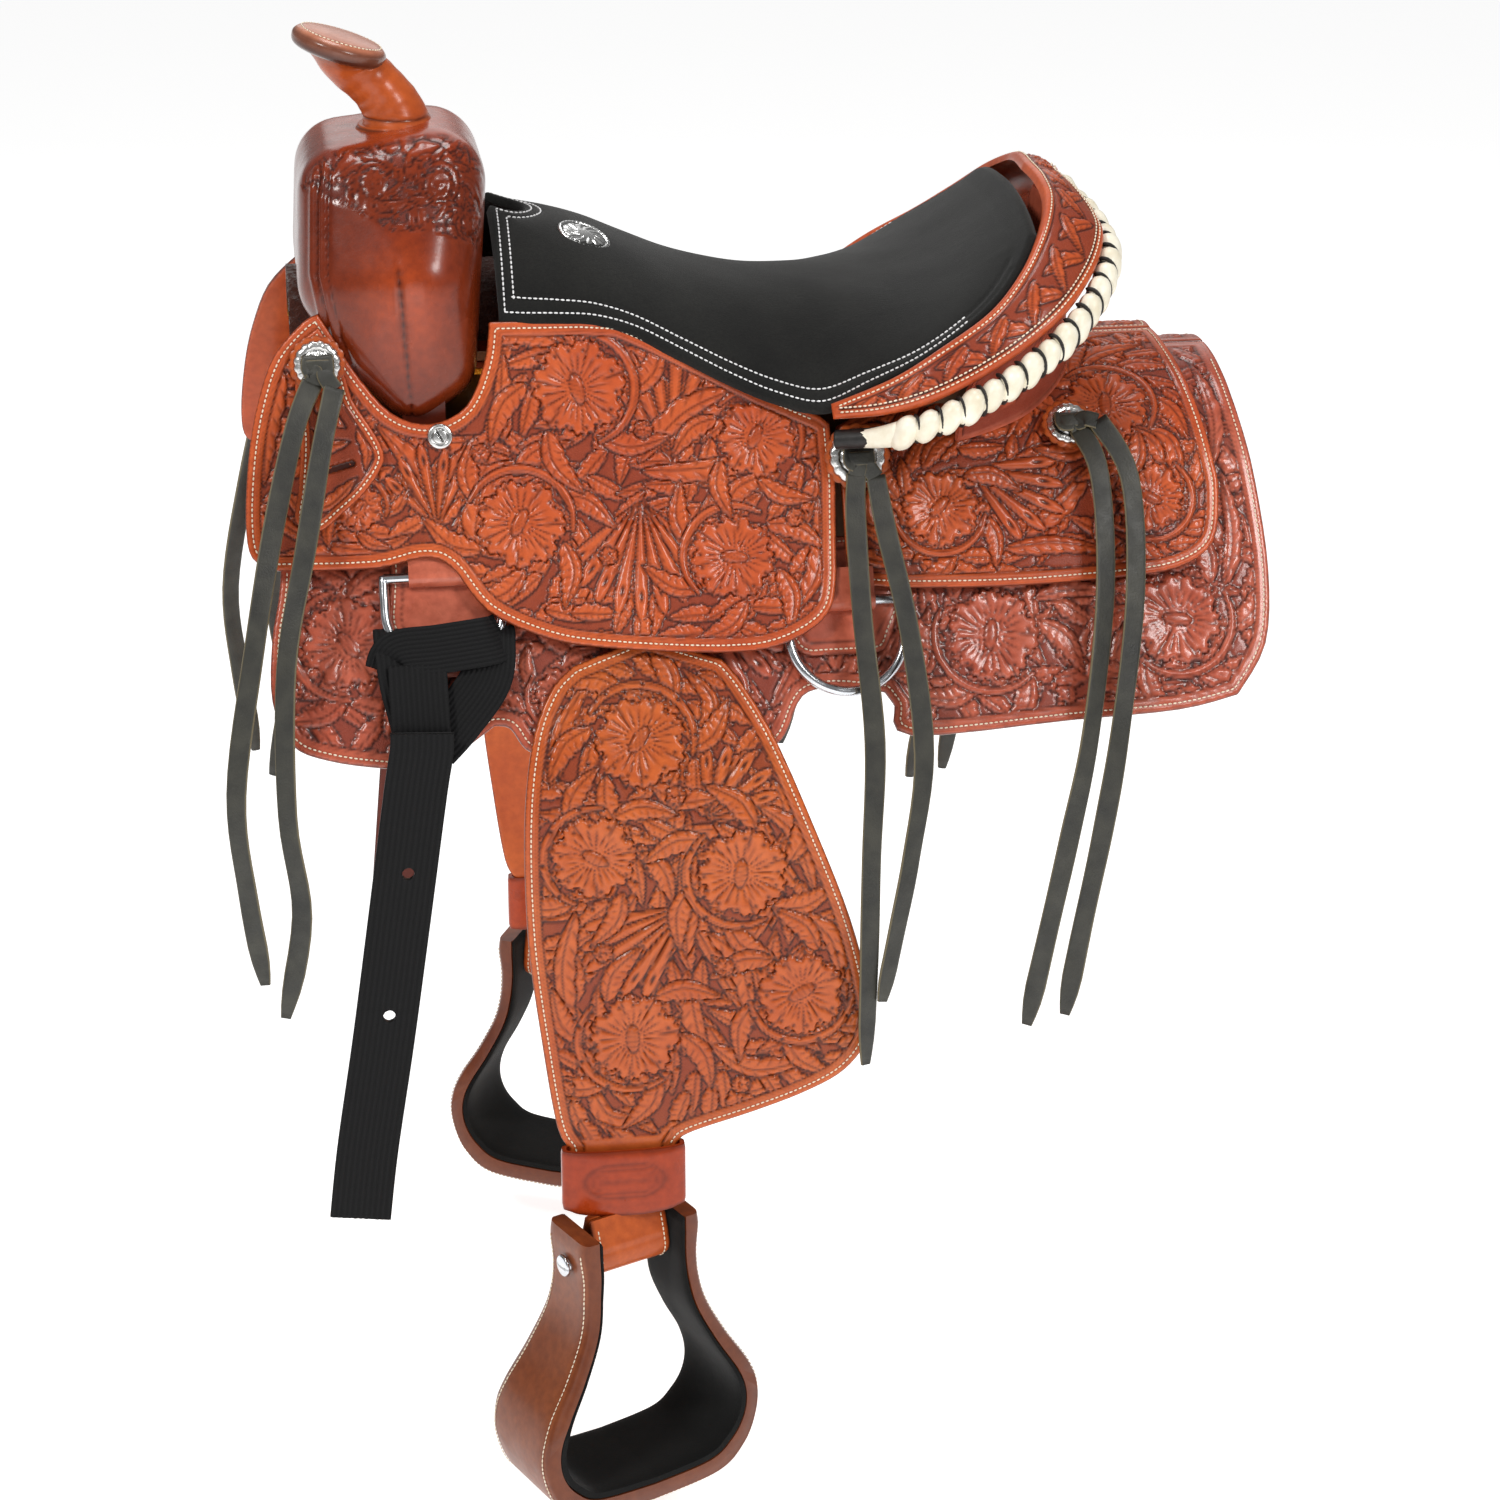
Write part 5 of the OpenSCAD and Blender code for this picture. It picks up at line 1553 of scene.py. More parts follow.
def horn():
    path = smooth([[-208, 0, 166], [-208, 0, 176], [-208.5, 0, 184], [-212, 0, 193], [-217.5, 0, 201.5],
                   [-224, 0, 209], [-231, 0, 215], [-238, 0, 220], [-244, 0, 226.3]], 10)
    rad = smooth([[27], [26.5], [22], [19.5], [17.8], [17.5], [18.5], [21], [24.5]], 10)[:, 0]
    tilt = math.radians(CAP_TILT)
    n = np.array([math.sin(tilt), 0, math.cos(tilt)])
    t = tangents(path)
    lean = ss(np.linspace(0, 1, len(path)), 0.55, 1.0)[:, None]
    face = unit(t * (1 - lean) + n * lean)
    front = np.cross([0, 1, 0], face)
    a = np.linspace(0, TAU, 56, endpoint=False)
    v, f = loft(path[:, None] + rad[:, None, None] * (np.cos(a)[None, :, None] * front[:, None]
            + np.sin(a)[None, :, None] * np.array([0, 1, 0])))
    ring = np.repeat(np.arange(len(path)), 56)
    k = np.r_[ring, 0, len(path) - 1]
    seam = np.exp(-((v[:, 2] - 178) / 0.9) ** 2) + np.exp(-((v[:, 2] - 184.5) / 0.9) ** 2)
    shade = ss(k / len(path), 0.80, 0.97) * 0.6
    wrap = 0.5 + 0.5 * np.cos(TAU * (k - 30) / 9)
    out = unit(v - np.r_[path[ring], path[:1], path[-1:]])
    v[:-2] = v[:-2] + out[:-2] * (-0.9 * seam + 0.25 * ss(k, 26, 30) * wrap)[:-2, None]
    o = build("horn_leather", "saddle", M["plain"], v, [q[:, ::-1] for q in f],
              {"cut": np.clip(0.8 * seam + shade, 0, 1)}, "smooth_leather")
    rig.replaces(o, "horn_wrap", "horn_post")
    u = np.array([math.cos(tilt), 0, -math.sin(tilt)])
    w = np.cross(n, u)
    prof = smooth([[0, 7.6], [10, 7.4], [20, 6.6], [26.5, 5.0], [30.2, 1.6], [30.6, -2.0], [29.2, -5.8],
                   [25, -8.0],
                   [17, -9.0], [0, -9.2]], 5)
    a = np.linspace(0, TAU, 96, endpoint=False)
    c = np.array([-242.5, 0, 232])
    rings = np.stack([c + r * (np.cos(a)[:, None] * u * 1.03 + np.sin(a)[:, None] * w) + h * n for r,
                      h in prof[1:-1]])
    v, f = loft(rings)
    rel = np.r_[np.repeat(prof[1:-1, 0], 96), 0, 0]
    hh = np.r_[np.repeat(prof[1:-1, 1], 96), 7.6, -9.2]
    stitch_line = np.exp(-((rel - 25.5) / 0.6) ** 2) * (hh > 0)
    # The stitch line is a real groove; the darker rim and underside of the cap are painted shade.
    cut = np.clip(0.5 * stitch_line + 0.7 * ss(-hh, -4.5, -1.5) + 0.25 * ss(-hh, 0.8, 5.4), 0, 1)
    o = build("horn_top", "saddle", M["cap"], v, [q[:, ::-1] for q in f], {"cut": cut}, "smooth_leather")
    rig.replaces(o, "horn_cap")
    ring = c + 26 * (np.cos(a)[:, None] * u * 1.03 + np.sin(a)[:, None] * w) + 5.1 * n
    v, f = stitches(ring, np.repeat(n[None], 96, 0), 3.0, 2.0, 0.5, closed=True)
    build("horn_stitches", "saddle", M["thread"], v, f)


def gullet_lining():
    """The fleece-lined tunnel under the swell."""
    a = np.linspace(-0.02, math.pi + 0.02, 90)
    xs = np.linspace(-284, -120, 70)
    X, A = np.meshgrid(xs, a, indexing="ij")
    rings = []
    for r, s in ((43.6, 1), (36.6, -1)):
        p = np.stack([X, r * np.cos(A), 42 + r * np.sin(A)], -1)
        bump = lumps(p.reshape(-1, 3), 3.2, 2.0).reshape(X.shape)
        rr = r - 0.3 + (0.7 if s > 0 else 1.4) * bump * (-1 if s > 0 else 1) * 0.8
        rings.append(np.stack([X, rr * np.cos(A), 42 + rr * np.sin(A)], -1))
    v, f = loft(np.concatenate([rings[0], rings[1][:, ::-1]], 1))
    # Painted shade: the outer side and the ends of the lining, which show in the gap behind the swell, are coloured
    # dark brown through the edge attribute.
    outer = np.tile(np.arange(180) < 90, len(xs)).astype(float)
    o = build("gullet_fleece", "saddle", M["fleece"], v, f, {"edge": np.r_[outer, 1, 1]}, "fleece")
    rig.replaces(o, "gullet_pad")


def fleece():
    sheet = Sheet(arch_profile(5.0))
    rear = smooth([[342, 34], [347, -10], [355, -59], [358, -112], [351, -155], [331, -181]], 3)
    low = smooth([[331, -181], [292, -188], [216, -191], [112, -195], [102, -180]], 3)
    notch = smooth([[94, -169], [60, -165], [39, -169], [26, -190], [18, -197]], 3)
    mid = smooth([[-132, -197], [-146, -191], [-155, -179], [-165, -177]], 3)
    front = smooth([[-203, -200], [-238, -198], [-274, -192], [-295, -182], [-306, -160], [-303, -125],
                    [-296, -94], [-293, -50], [-289, -12]], 3)
    out = np.concatenate([sheet.flat_all(np.concatenate([rear, low[1:], notch, mid, front]), 2.0),
                          [[-284, 30], [175, 30], [184, 26], [184, 2.0], [336, 2.0]]])
    p, tri, sd = grid_inside(out, 3.4)
    face = sheet.at(p, -0.2)
    edge = 1 - np.clip(sd / 5, 0, 1)
    back = sheet.at(p, -7.2)
    back = sheet.at(p, -7.0 + 1.3 * lumps(back, 2.6, 4.0) + 3.2 * edge ** 2)
    n = len(p)
    e = rim_edges(tri)
    area = np.cross(p[tri[:, 1]] - p[tri[:, 0]], p[tri[:, 2]] - p[tri[:, 0]]).mean()
    f = tri[:, ::-1] if area > 0 else tri
    e = e[:, ::-1] if area > 0 else e
    walls = np.stack([e[:, 1], e[:, 0], e[:, 0] + n, e[:, 1] + n], 1)
    for label, s in SIDES:
        o = build(f"fleece_sheet_{label}", "saddle", M["fleece"], np.r_[face, back],
                  [f, f[:, ::-1] + n, walls],
                  None, "fleece", s, sharp=70)
        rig.replaces(o, f"fleece_{label}")


# ------------------------------------------------------------ hardware

def frame_at(sheet, x, z, d=0.0):
    q = sheet.flat(x, z)[None]
    return sheet.at(q, d)[0], sheet.normal(q)[0]


def concho_parts(c, n, r):
    """A scalloped silver concho: a domed middle, engraved petals and a roped rim."""
    def profile(R, A):
        petal = 0.5 + 0.5 * np.cos(10 * A)
        h = 1.6 + 2.6 * (1 - R ** 1.8) - 1.0 * np.exp(-((R - 0.62) / 0.05) ** 2)
        h = h - 0.55 * (1 - petal) ** 2 * ss(R, 0.28, 0.4) * (1 - ss(R, 0.55, 0.6))
        rope = 0.5 + 0.5 * np.cos(40 * A + 6 * R)
        h = h + 0.5 * rope * np.exp(-((R - 0.82) / 0.07) ** 2) - 1.6 * ss(R, 0.94, 1.0)
        cut = 0.7 * np.exp(-((R - 0.62) / 0.035) ** 2) + 0.5 * (1 - petal) ** 3 * ss(R, 0.28, 0.4) * (1
                - ss(R, 0.55, 0.6))
        return h, np.clip(cut, 0, 1)
    return disc(c, n, (1, 0, 0), r, r, profile, lambda A: 1 - 0.05 * (0.5 + 0.5 * np.cos(16 * A)) ** 2)


def rosette_parts(c, n, r):
    def profile(R, A):
        return 0.2 + 0.7 * (1 - ss(R, 0.9, 1.0)), 0.5 * ss(R, 0.9, 1.0)
    return disc(c, n, (1, 0, 0), r, r, profile, lambda A: 0.93 + 0.07 * np.abs(np.cos(8 * A)), 14, 128)


CONCHOS = (("front", (-268, -98.9, 45), 14, 15.5), ("mid", (82, -123, -25), 18, 19),
           ("rear", (229, -100, -16), 42, 15))
STRINGS = {
    "front_{}_a": [[-272, -110, 36], [-285, -128, 10], [-302, -150, -50], [-318, -182, -120],
                   [-334, -202, -210],
                   [-330, -206, -280], [-322, -208, -343]],
    "front_{}_b": [[-258, -114.4, 33], [-268, -134, 0], [-282, -162, -60], [-298, -190, -130],
                   [-302, -206, -225],
                   [-296, -210, -295], [-310, -212, -366]],
    "mid_{}_a": [[80, -133, -34], [78, -144, -60], [78, -176, -120], [82, -206, -195], [77, -226, -270],
                 [75, -233, -345], [73, -236, -415]],
    "mid_{}_b": [[93, -132, -36], [97, -150, -66], [108, -184, -128], [114, -210, -204], [104, -224, -270],
                 [94, -230, -320], [84, -234, -370]],
    "rear_{}_a": [[234, -110, -16], [244, -132, -42], [242, -168, -110], [226, -208, -196],
                  [212, -218, -265],
                  [198, -222, -335], [186, -222, -400]],
    "rear_{}_b": [[246, -112, -10], [264, -134, -44], [262, -170, -112], [246, -208, -196],
                  [234, -220, -262],
                  [222, -222, -330], [212, -222, -394]]}


def ribbon(path, normal, width, thick, sides=16, taper=None, wave=0.0):
    """A flat strip of leather with round edges; 'edge' marks its rims."""
    p = np.asarray(path, float)
    t = tangents(p)
    n = unit(np.broadcast_to(np.asarray(normal, float), p.shape) - t * (np.asarray(normal, float) * t).sum(
        -1, keepdims=True))
    b = np.cross(t, n)
    a = np.linspace(0, TAU, sides, endpoint=False)
    cx, cy = np.cos(a), np.sin(a)
    sx, sy = np.sign(cx) * np.abs(cx) ** 0.5, np.sign(cy) * np.abs(cy) ** 0.75
    w = np.broadcast_to(np.asarray(width if taper is None else width * taper, float), (len(p),)) / 2
    cup = wave * (sx[None] ** 2 - 0.5)
    ring = p[:, None] + w[:, None, None] * sx[None, :, None] * b[:, None] \
        + (thick / 2 * sy[None, :] + cup)[..., None] * n[:, None]
    edge = np.tile((np.abs(sx) > 0.93).astype(float), len(p))
    v, f = loft(ring)
    return v, f, {"edge": np.r_[edge, 1, 1]}


def strings():
    """Twelve free saddle strings: camera and strings come first, so their lengths are settled early."""
    for key, route in STRINGS.items():
        pts = smooth(np.array(route, float), 6)
        k = np.linspace(0, 1, len(pts))
        for label, s in SIDES:
            node = "string_" + key.format(label)
            phase = sum(map(ord, key)) * 0.7 + (s < 0)
            turn = 0.42 * np.sin(k * 4.2 + phase) * ss(k, 0.1, 0.5)
            n = np.stack([np.sin(turn), -np.cos(turn), 0.25 * (1 - k)], 1)
            taper = np.where(k > 0.93, 1 - (k - 0.93) * 7, 1.0) * (1 + 0.03 * np.sin(k * 21 + phase))
            v, f, at = ribbon(pts, n, 13.6, 3.4, taper=taper, wave=0.7)
            o = build(node + "_strip", "saddle", M["string"], v, f, at, "string_leather", s)
            length = float(np.linalg.norm(np.diff(pts, axis=0), axis=1).sum()) / 1000
            path = pts * (0.001, 0.001 * s, 0.001)
            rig.cord(o, exit=path[0], length=length, diameter=0.014, far_end="bare", stiffness="limp",
                    lay="hanging",
                    path=path)
            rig.replaces(o, node)


def conchos():
    silver, leather, knots = [], [], []
    for name, c, tilt, r in CONCHOS:
        a = math.radians(tilt)
        n = np.array([0, -math.cos(a), math.sin(a)])
        c = np.array(c, float)
        leather.append(rosette_parts(c + n * 0.2, n, r + 3.2))
        silver.append(concho_parts(c + n * 1.2, n, r))
        up = np.array([0, n[2], -n[1]])
        down = -up
        ends = [np.array(v[0], float) for q, v in STRINGS.items() if q.startswith(name)]
        for j, end in enumerate(ends):
            sx = -4.5 if j == 0 else 4.5
            side = np.array([1, 0, 0])
            slot_at = c + n * 4.5 + up * 4 + side * sx
            path = smooth([slot_at - n * 3, slot_at + n * 2.4, c + n * 8.5 + side * sx * 1.1 + down * 3,
                           (c + n * 8 + end) / 2 + n * 1.5, end + (0, -0.4, -1)], 6)
            knots.append(ribbon(path, n, 11.5, 3.2, wave=0.5))
        w = np.linspace(-1, 1, 12)
        bar = c + n * (7.2 + 2.2 * (1 - w ** 2))[:, None] + np.outer(w * 9, [1, 0, 0]) + down * 1.5
        knots.append(ribbon(bar, n, 9, 3.0, wave=0.4))
    for label, s in SIDES:
        v, f, at = join(leather)
        build(f"concho_rosettes_{label}", "saddle", M["plain"], v, f, at, "tooled_leather", s, sharp=60)
        v, f, at = join(silver)
        o = build(f"concho_silver_{label}", "saddle", M["silver"], v, f, at, "silver", s)
        v, f, at = join(knots)
        build(f"concho_knots_{label}", "saddle", M["string"], v, f, at, "string_leather", s)
        if s > 0:
            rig.replaces(o, "conchos")
    face = Sheet(smooth(JOCKEY_FACE, 6))
    c, n = frame_at(face, -191, -4, 0.2)

    def screw(R, A):
        ring = np.exp(-((R - 0.62) / 0.07) ** 2)
        slot = (np.abs(R * np.cos(A - 0.5)) < 0.09) * (R < 0.5)
        return 2.4 - 1.3 * R ** 2 - 0.9 * ring - 0.7 * slot - 1.0 * ss(R, 0.92, 1), np.clip(0.6 * ring
                + slot, 0, 1)
    v, f, at = disc(c, n, (1, 0, 0), 8.4, 8.4, screw)
    for label, s in SIDES:
        o = build(f"screw_head_{label}", "saddle", M["silver"], v, f, at, "steel", s)
        if s > 0:
            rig.replaces(o, "jockey_screws")


def keeper():
    prof = Sheet(smooth(JOCKEY_FACE, 6))
    sheet = Sheet(np.stack([prof.y + prof.ny * 3.8, prof.z + prof.nz * 3.8], 1))
    pts = smooth([[-266, 68], [-252, 41], [-246, 21], [-234, 2], [-228, -12], [-231, -22], [-242, -35],
                  [-256, -46], [-273, -57], [-287, -50], [-284, -30], [-281, 0], [-283, 30], [-280, 58]], 6)
    out = sheet.flat_all(pts)
    slot_c = sheet.flat(-261, -20)

    def relief(p, sd):
        c = Carving(p, sd, 6.5, -0.7)
        F = sheet.flat
        c.leaf([F(-268, 30), F(-262, 15), F(-252, 5)], 7, 4, 1)
        c.leaf([F(-276, 5), F(-268, -5), F(-250, -4)], 6, 4, 1)
        c.leaf([F(-274, -44), F(-262, -40), F(-246, -26)], 6, 4, -1)
        c.leaf([F(-244, 4), F(-238, -8), F(-240, -22)], 5, 3, 1)
        h, bg, cut = c.finish()
        q = p - slot_c
        a = math.radians(-14)
        u, v = q[:, 0] * math.cos(a) + q[:, 1] * math.sin(a), -q[:, 0] * math.sin(a) + q[:, 1] * math.cos(a)
        d = np.hypot(np.maximum(np.abs(u) - 12.5, 0), v)
        hole = 1 - ss(d, 2.0, 3.0)
        return h - 2.6 * hole, bg * (1 - hole), np.maximum(cut, hole)
    made = panel("keeper_panel", "saddle", sheet, out, relief, 3.4, 1.1, M["tooled"], "tooled_leather",
                 sides=SIDES[:1], stitch=(3.4,))
    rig.replaces(made[0], "latigo_keeper")


SIDE_OUT, SIDE_DOWN = np.array([0, -0.866, 0.5]), np.array([0, -0.5, -0.866])


def on_dee(x, down, out):
    """A place measured from the bar of the front dee, in the plane of the saddle's side."""
    return np.array([x, plane_y(17.1, -91), -91.0]) + SIDE_DOWN * down + SIDE_OUT * out


def rigging():
    """Plates under the fenders that hold the dees, each folded round its ring's bar."""
    sheet = Sheet(arch_profile(13.2))
    front = np.array([[-226, -79], [-231, -120], [-207, -150], [-180, -150], [-158, -122], [-100, -100],
                      [-100, -79]], float)
    rear = np.array([[20, -79], [20, -120], [40, -148], [95, -148], [111, -118], [111, -79]], float)
    made = []
    for name, pts in (("front", front), ("rear", rear)):
        out = sheet.flat_all(smooth(resample(np.concatenate([pts, pts[:1]]), 9.0)[:-1], 3, True))
        made += panel(f"rigging_{name}", "saddle", sheet, out, flat_relief, 2.8, 2.2, M["dark_tooled"],
                      "dark_leather",
                      stitch=(3.6,))
    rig.replaces(made[0], "rigging_plates")
    for name, x, z, w in (("front", -194, -91, 44), ("rear", 70, -116, 40)):
        h = 17.1
        y0 = plane_y(h, z)
        n, dn = SIDE_OUT, SIDE_DOWN
        flap = np.array([0, y0, z]) + n * 3.6 - dn * np.array([22.0, 16, 10, 4])[:, None]
        turn = np.radians(np.linspace(100, -80, 15))[:, None]
        path = np.concatenate([flap, np.array([0, y0, z]) + 5.4 * (np.cos(turn) * dn + np.sin(turn) * n)])
        path[:, 0] = x
        t = tangents(path)
        nn = np.cross(np.broadcast_to([1.0, 0, 0], t.shape), t)
        nn = nn * np.sign(nn[:1] @ n)
        ring = []
        for sgn, off in ((1, 1.1), (-1, -1.1)):
            xs = np.linspace(-w / 2, w / 2, 12) * sgn
            ring.append(path[:, None] + nn[:, None] * off + xs[None, :, None] * np.array([1, 0, 0]))
        v, f = loft(np.concatenate(ring, 1))
        for label, s in SIDES:
            build(f"dee_fold_{name}_{label}", "saddle", M["dark_tooled"], v, f, None, "dark_leather", s,
                  sharp=60)


def dees():
    for name, x, z in (("front", -194, -91), ("rear", 70, -116)):
        r, h = 38.5, 17.1
        a = np.radians(np.linspace(0, 180, 49))
        bow = np.stack([r * np.cos(a), -22 - r * np.sin(a)], 1)
        bar = np.stack([np.linspace(-r, r, 24), np.zeros(24)], 1)
        leg_l = np.stack([np.full(8, -r), np.linspace(-21, -1.5, 8)], 1)
        leg_r = leg_l[::-1] * (-1, 1)
        flat = resample(np.concatenate([bow, leg_l, bar, leg_r]), 1.6, True)
        y0 = plane_y(h, z)
        path = np.stack([x + flat[:, 0], y0 + flat[:, 1] * 0.5, z + flat[:, 1] * 0.866], 1)
        v, f = tube(path, 3.5, (0, -0.866, 0.5), 16, closed=True)
        for label, s in SIDES:
            o = build(f"{name}_ring_{label}", f"{name}_dee_{label}", M["steel"], v, f, None, "steel", s)
            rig.replaces(o, f"{name}_dee_{label}")


def webbing(path, normal, width, thick, ribs=11):
    """Ribbed nylon: ribs run along it, with a fine weave across."""
    p = resample(np.asarray(path, float), 1.1)
    t = tangents(p)
    nrm = np.asarray(normal, float)
    if nrm.ndim == 2:
        k = np.linspace(0, 1, len(nrm))
        nrm = np.stack([np.interp(np.linspace(0, 1, len(p)), k, nrm[:, i]) for i in range(3)], 1)
    n = unit(nrm - t * (nrm * t).sum(-1, keepdims=True) * np.ones((len(p), 1)))
    b = np.cross(t, n)
    m = ribs * 6 + 1
    u = np.linspace(-1, 1, m)
    rib = 0.5 + 0.5 * np.cos(u * np.pi * ribs)
    k = np.arange(len(p))
    weave = 0.5 + 0.5 * np.cos(k[:, None] * np.pi * 0.9 + np.floor((u[None] + 1) * ribs / 2) * np.pi)
    lift = (0.55 * rib[None] + 0.25 * weave) * (1 - np.abs(u[None]) ** 14)
    front = p[:, None] + (u * width / 2)[None, :, None] * b[:, None] + (thick / 2 + lift - 0.4)[...,
            None] * n[:, None]
    rear = p[:, None] + (u * width / 2)[None, :, None] * b[:, None] - np.full_like(lift, thick / 2)[...,
            None] * n[:, None]
    v, f = loft(np.concatenate([front, rear[:, ::-1]], 1))
    # Painted highlight on the tops of the ribs and the weave, painted shade between them; the back takes a flat middle
    # value.
    rib_highlight = np.concatenate([0.15 + 0.6 * rib[None] * (0.4 + 0.6 * weave), np.full((len(p), m), 0.3)], 1)
    return v, f, {"rib": np.r_[rib_highlight.ravel(), 0, 0]}


LATIGO_HOLES = ((-226, -270), (-242, -372))
HOLE_R = 4.2


def latigo():
    """The nylon tie strap: wraps and a flat knot on the front dee, and a long hanging end."""
    n, at = SIDE_OUT, on_dee
    parts = []
    parts.append(webbing(smooth([at(-166, 36, -1.5), at(-166, 44, 6.2), at(-170, 70, 7.6),
                                 at(-190, 96, 6.0),
                                 at(-206, 112, 3.0)], 8), n, 34, 2.4))
    parts.append(webbing(smooth([at(-222, 34, -1.5), at(-222, 43, 6.6), at(-220, 70, 9.4),
                                 at(-214, 100, 8.2),
                                 at(-213, 118, 4.0)], 8), n, 38, 2.4))
    parts.append(webbing(smooth([at(-232, 62, 2.0), at(-226, 52, 10.6), at(-200, 50, 13.2),
                                 at(-168, 46, 11.0),
                                 at(-157, 42, 3.0)], 8), n, 32, 2.4))
    parts.append(webbing(smooth([at(-214, 60, 12.6), at(-214, 84, 14.0), at(-214, 104, 12.6),
                                 at(-214, 112, 6.0)], 8),
                         n, 38, 2.4))
    v, f, a = join(parts)
    o = build("latigo_wraps", "front_dee_left", M["nylon"], v, f, a, "nylon")
    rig.replaces(o, "latigo_knot")
    path = smooth([[-213.6, -205.4, -172.5], [-214.5, -205.5, -186], [-219.5, -205.5, -215],
                   [-232.5, -205.5, -300],
                   [-246.5, -205.5, -390], [-260, -205.5, -470], [-267, -205.5, -522.5]], 10)
    v, f, a = webbing(path, (0, -1, 0), 41, 3.2)
    for x, z in LATIGO_HOLES:
        d = np.hypot(v[:, 0] - x, v[:, 2] - z)
        out = unit(np.stack([v[:, 0] - x, v[:, 2] - z], 1))
        near = d < HOLE_R
        v[near, 0], v[near, 2] = x + out[near, 0] * HOLE_R, z + out[near, 1] * HOLE_R
    o = build("latigo_end", "latigo", M["nylon"], v, f, a, "nylon")
    punch(o, LATIGO_HOLES)
    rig.replaces(o, "latigo")


def punch(o, holes):
    """Opens the faces that lie inside each tongue hole."""
    bm = bmesh.new()
    bm.from_mesh(o.data)
    gone = [fc for fc in bm.faces if any(math.hypot(fc.calc_center_median().x * 1000 - x,
            fc.calc_center_median().z * 1000 - z) < 4.05 for x,
            z in holes)]
    bmesh.ops.delete(bm, geom=gone, context="FACES")
    rim = [e for e in bm.edges if e.is_boundary]
    groups = []
    for x, z in holes:
        groups.append([e for e in rim if math.hypot(e.verts[0].co.x * 1000 - x, e.verts[0].co.z * 1000
                - z) < 8])
    for g in groups:
        try:
            bmesh.ops.bridge_loops(bm, edges=g)
        except RuntimeError:
            pass
    bm.to_mesh(o.data)
    bm.free()


def billet():
    sheet = Sheet(np.array([[-208.0, -160.0], [-208.0, -505.0]]))
    pts = [[-178, -170], [-176.5, -185], [-204, -478], [-213, -494], [-224, -499.5], [-234, -494],
           [-240, -478],
           [-211.5, -185], [-210, -170]]
    out = sheet.flat_all(pts)
    holes = [(-205.5 - 3.7 * k, -300.0 - 40 * k) for k in range(5)]
    flat_holes = [sheet.flat(x, z) for x, z in holes]

    def relief(p, sd):
        h, bg, cut = flat_relief(p, sd + 2)
        for c in flat_holes:
            d = np.hypot(*(p - c).T)
            g = 1 - ss(d, 3.4, 4.2)
            h, cut = h - 2.4 * g, np.maximum(cut, g)
        return h, bg, cut
    made = panel("billet_panel", "off_billet", sheet, out, relief, 4.6, 1.5, M["dark"], "dark_leather",
                 sides=SIDES[1:], stitch=())
    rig.replaces(made[0], "off_billet")
    n, at = SIDE_OUT, on_dee
    parts = [ribbon(smooth([at(-194, 96, -3), at(-194, 60, -4), at(-194, 44, -3), at(-194, 38.5, 2),
                            at(-194, 44, 6),
                            at(-194, 70, 5), at(-194, 104, 2)], 8), n, 36, 3.6, wave=0.2),
             ribbon(smooth([at(-214, 62, 3), at(-211, 62, 8.4), at(-194, 62, 9.2), at(-177, 62, 8.4),
                            at(-174, 62, 3)], 8), n, 20, 3.0, wave=0.2)]
    v, f, _ = join(parts)
    o = build("billet_loop", "front_dee_right", M["dark"], v, f, None, "dark_leather", -1)
    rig.replaces(o, "off_billet_knot")


# ------------------------------------------------------------ fender, hobble and stirrup

def hobbles():
    """The strap round each fender's neck, its front pressed with a plain oval."""
    n = 150
    k = np.linspace(0, TAU, n, endpoint=False)
    cx, cy = np.cos(k), np.sin(k)
    x = -90 + 42.0 * np.sign(cx) * np.abs(cx) ** 0.30
    y = -228 + 7.4 * np.sign(cy) * np.abs(cy) ** 0.55
    front = (y < -228).astype(float) * ss(42 - np.abs(x + 90), 0, 10)
    m = 40
    f = np.linspace(0, 1, m)
    X, F = np.meshgrid(x, f, indexing="ij")
    Y = np.repeat(y[:, None], m, 1)
    bulge = 3.2 * front[:, None] * (1 - ((X + 90) / 44) ** 2) * np.sin(np.pi * F) ** 0.7
    low = -513 + 0.5 - 6.5 * front[:, None] * (1 - ((X + 90) / 42) ** 2)
    top = -468.5 - 1.5 * front[:, None] * (1 - ((X + 90) / 42) ** 2)
    Z = low + (top - low) * F
    e = np.hypot((X + 90) / 27, (Z + 491) / 14)
    ring = np.exp(-((e - 1) / 0.09) ** 2) + 0.8 * np.exp(-((e - 0.78) / 0.06) ** 2)
    petal = np.exp(-((e - 0.4) / 0.16) ** 2) * (0.5 + 0.5
            * np.cos(6 * np.arctan2((Z + 491) / 14, (X + 90) / 27)))
    pressed = (ring * 0.7 + petal * 0.6) * front[:, None]
    edge = np.exp(-(np.minimum(F, 1 - F) * 44 / 2.0) ** 2)
    o_n = np.stack([cx * 0.4, cy, 0 * cx], 1)
    o_n = unit(o_n)[:, None]
    outer = np.stack([X, Y, Z], -1) + o_n * (-0.6 * edge - 0.8 * pressed)[..., None]
    outer[..., 1] -= bulge
    inner = np.stack([-90 + (X + 90) * 0.915, -228 + (Y + 228) * 0.58, Z], -1)
    rings = np.concatenate([outer, inner[:, ::-1]], 1)
    rings = np.concatenate([rings, rings[:1]])
    v, fc = loft(rings, caps=False)
    both = np.concatenate([pressed, np.zeros((n, m))], 1)
    both = np.concatenate([both, both[:1]])
    ed = np.concatenate([edge, np.zeros((n, m))], 1)
    ed = np.concatenate([ed, ed[:1]])
    for label, s in SIDES:
        o = build(f"hobble_band_{label}", f"fender_{label}", M["hobble"], v, fc,
                  {"cut": 0.6 * both.ravel(), "edge": 0.8 * ed.ravel()}, "tooled_leather", s, sharp=60)
        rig.replaces(o, f"hobble_{label}")


TURN = math.radians(25)


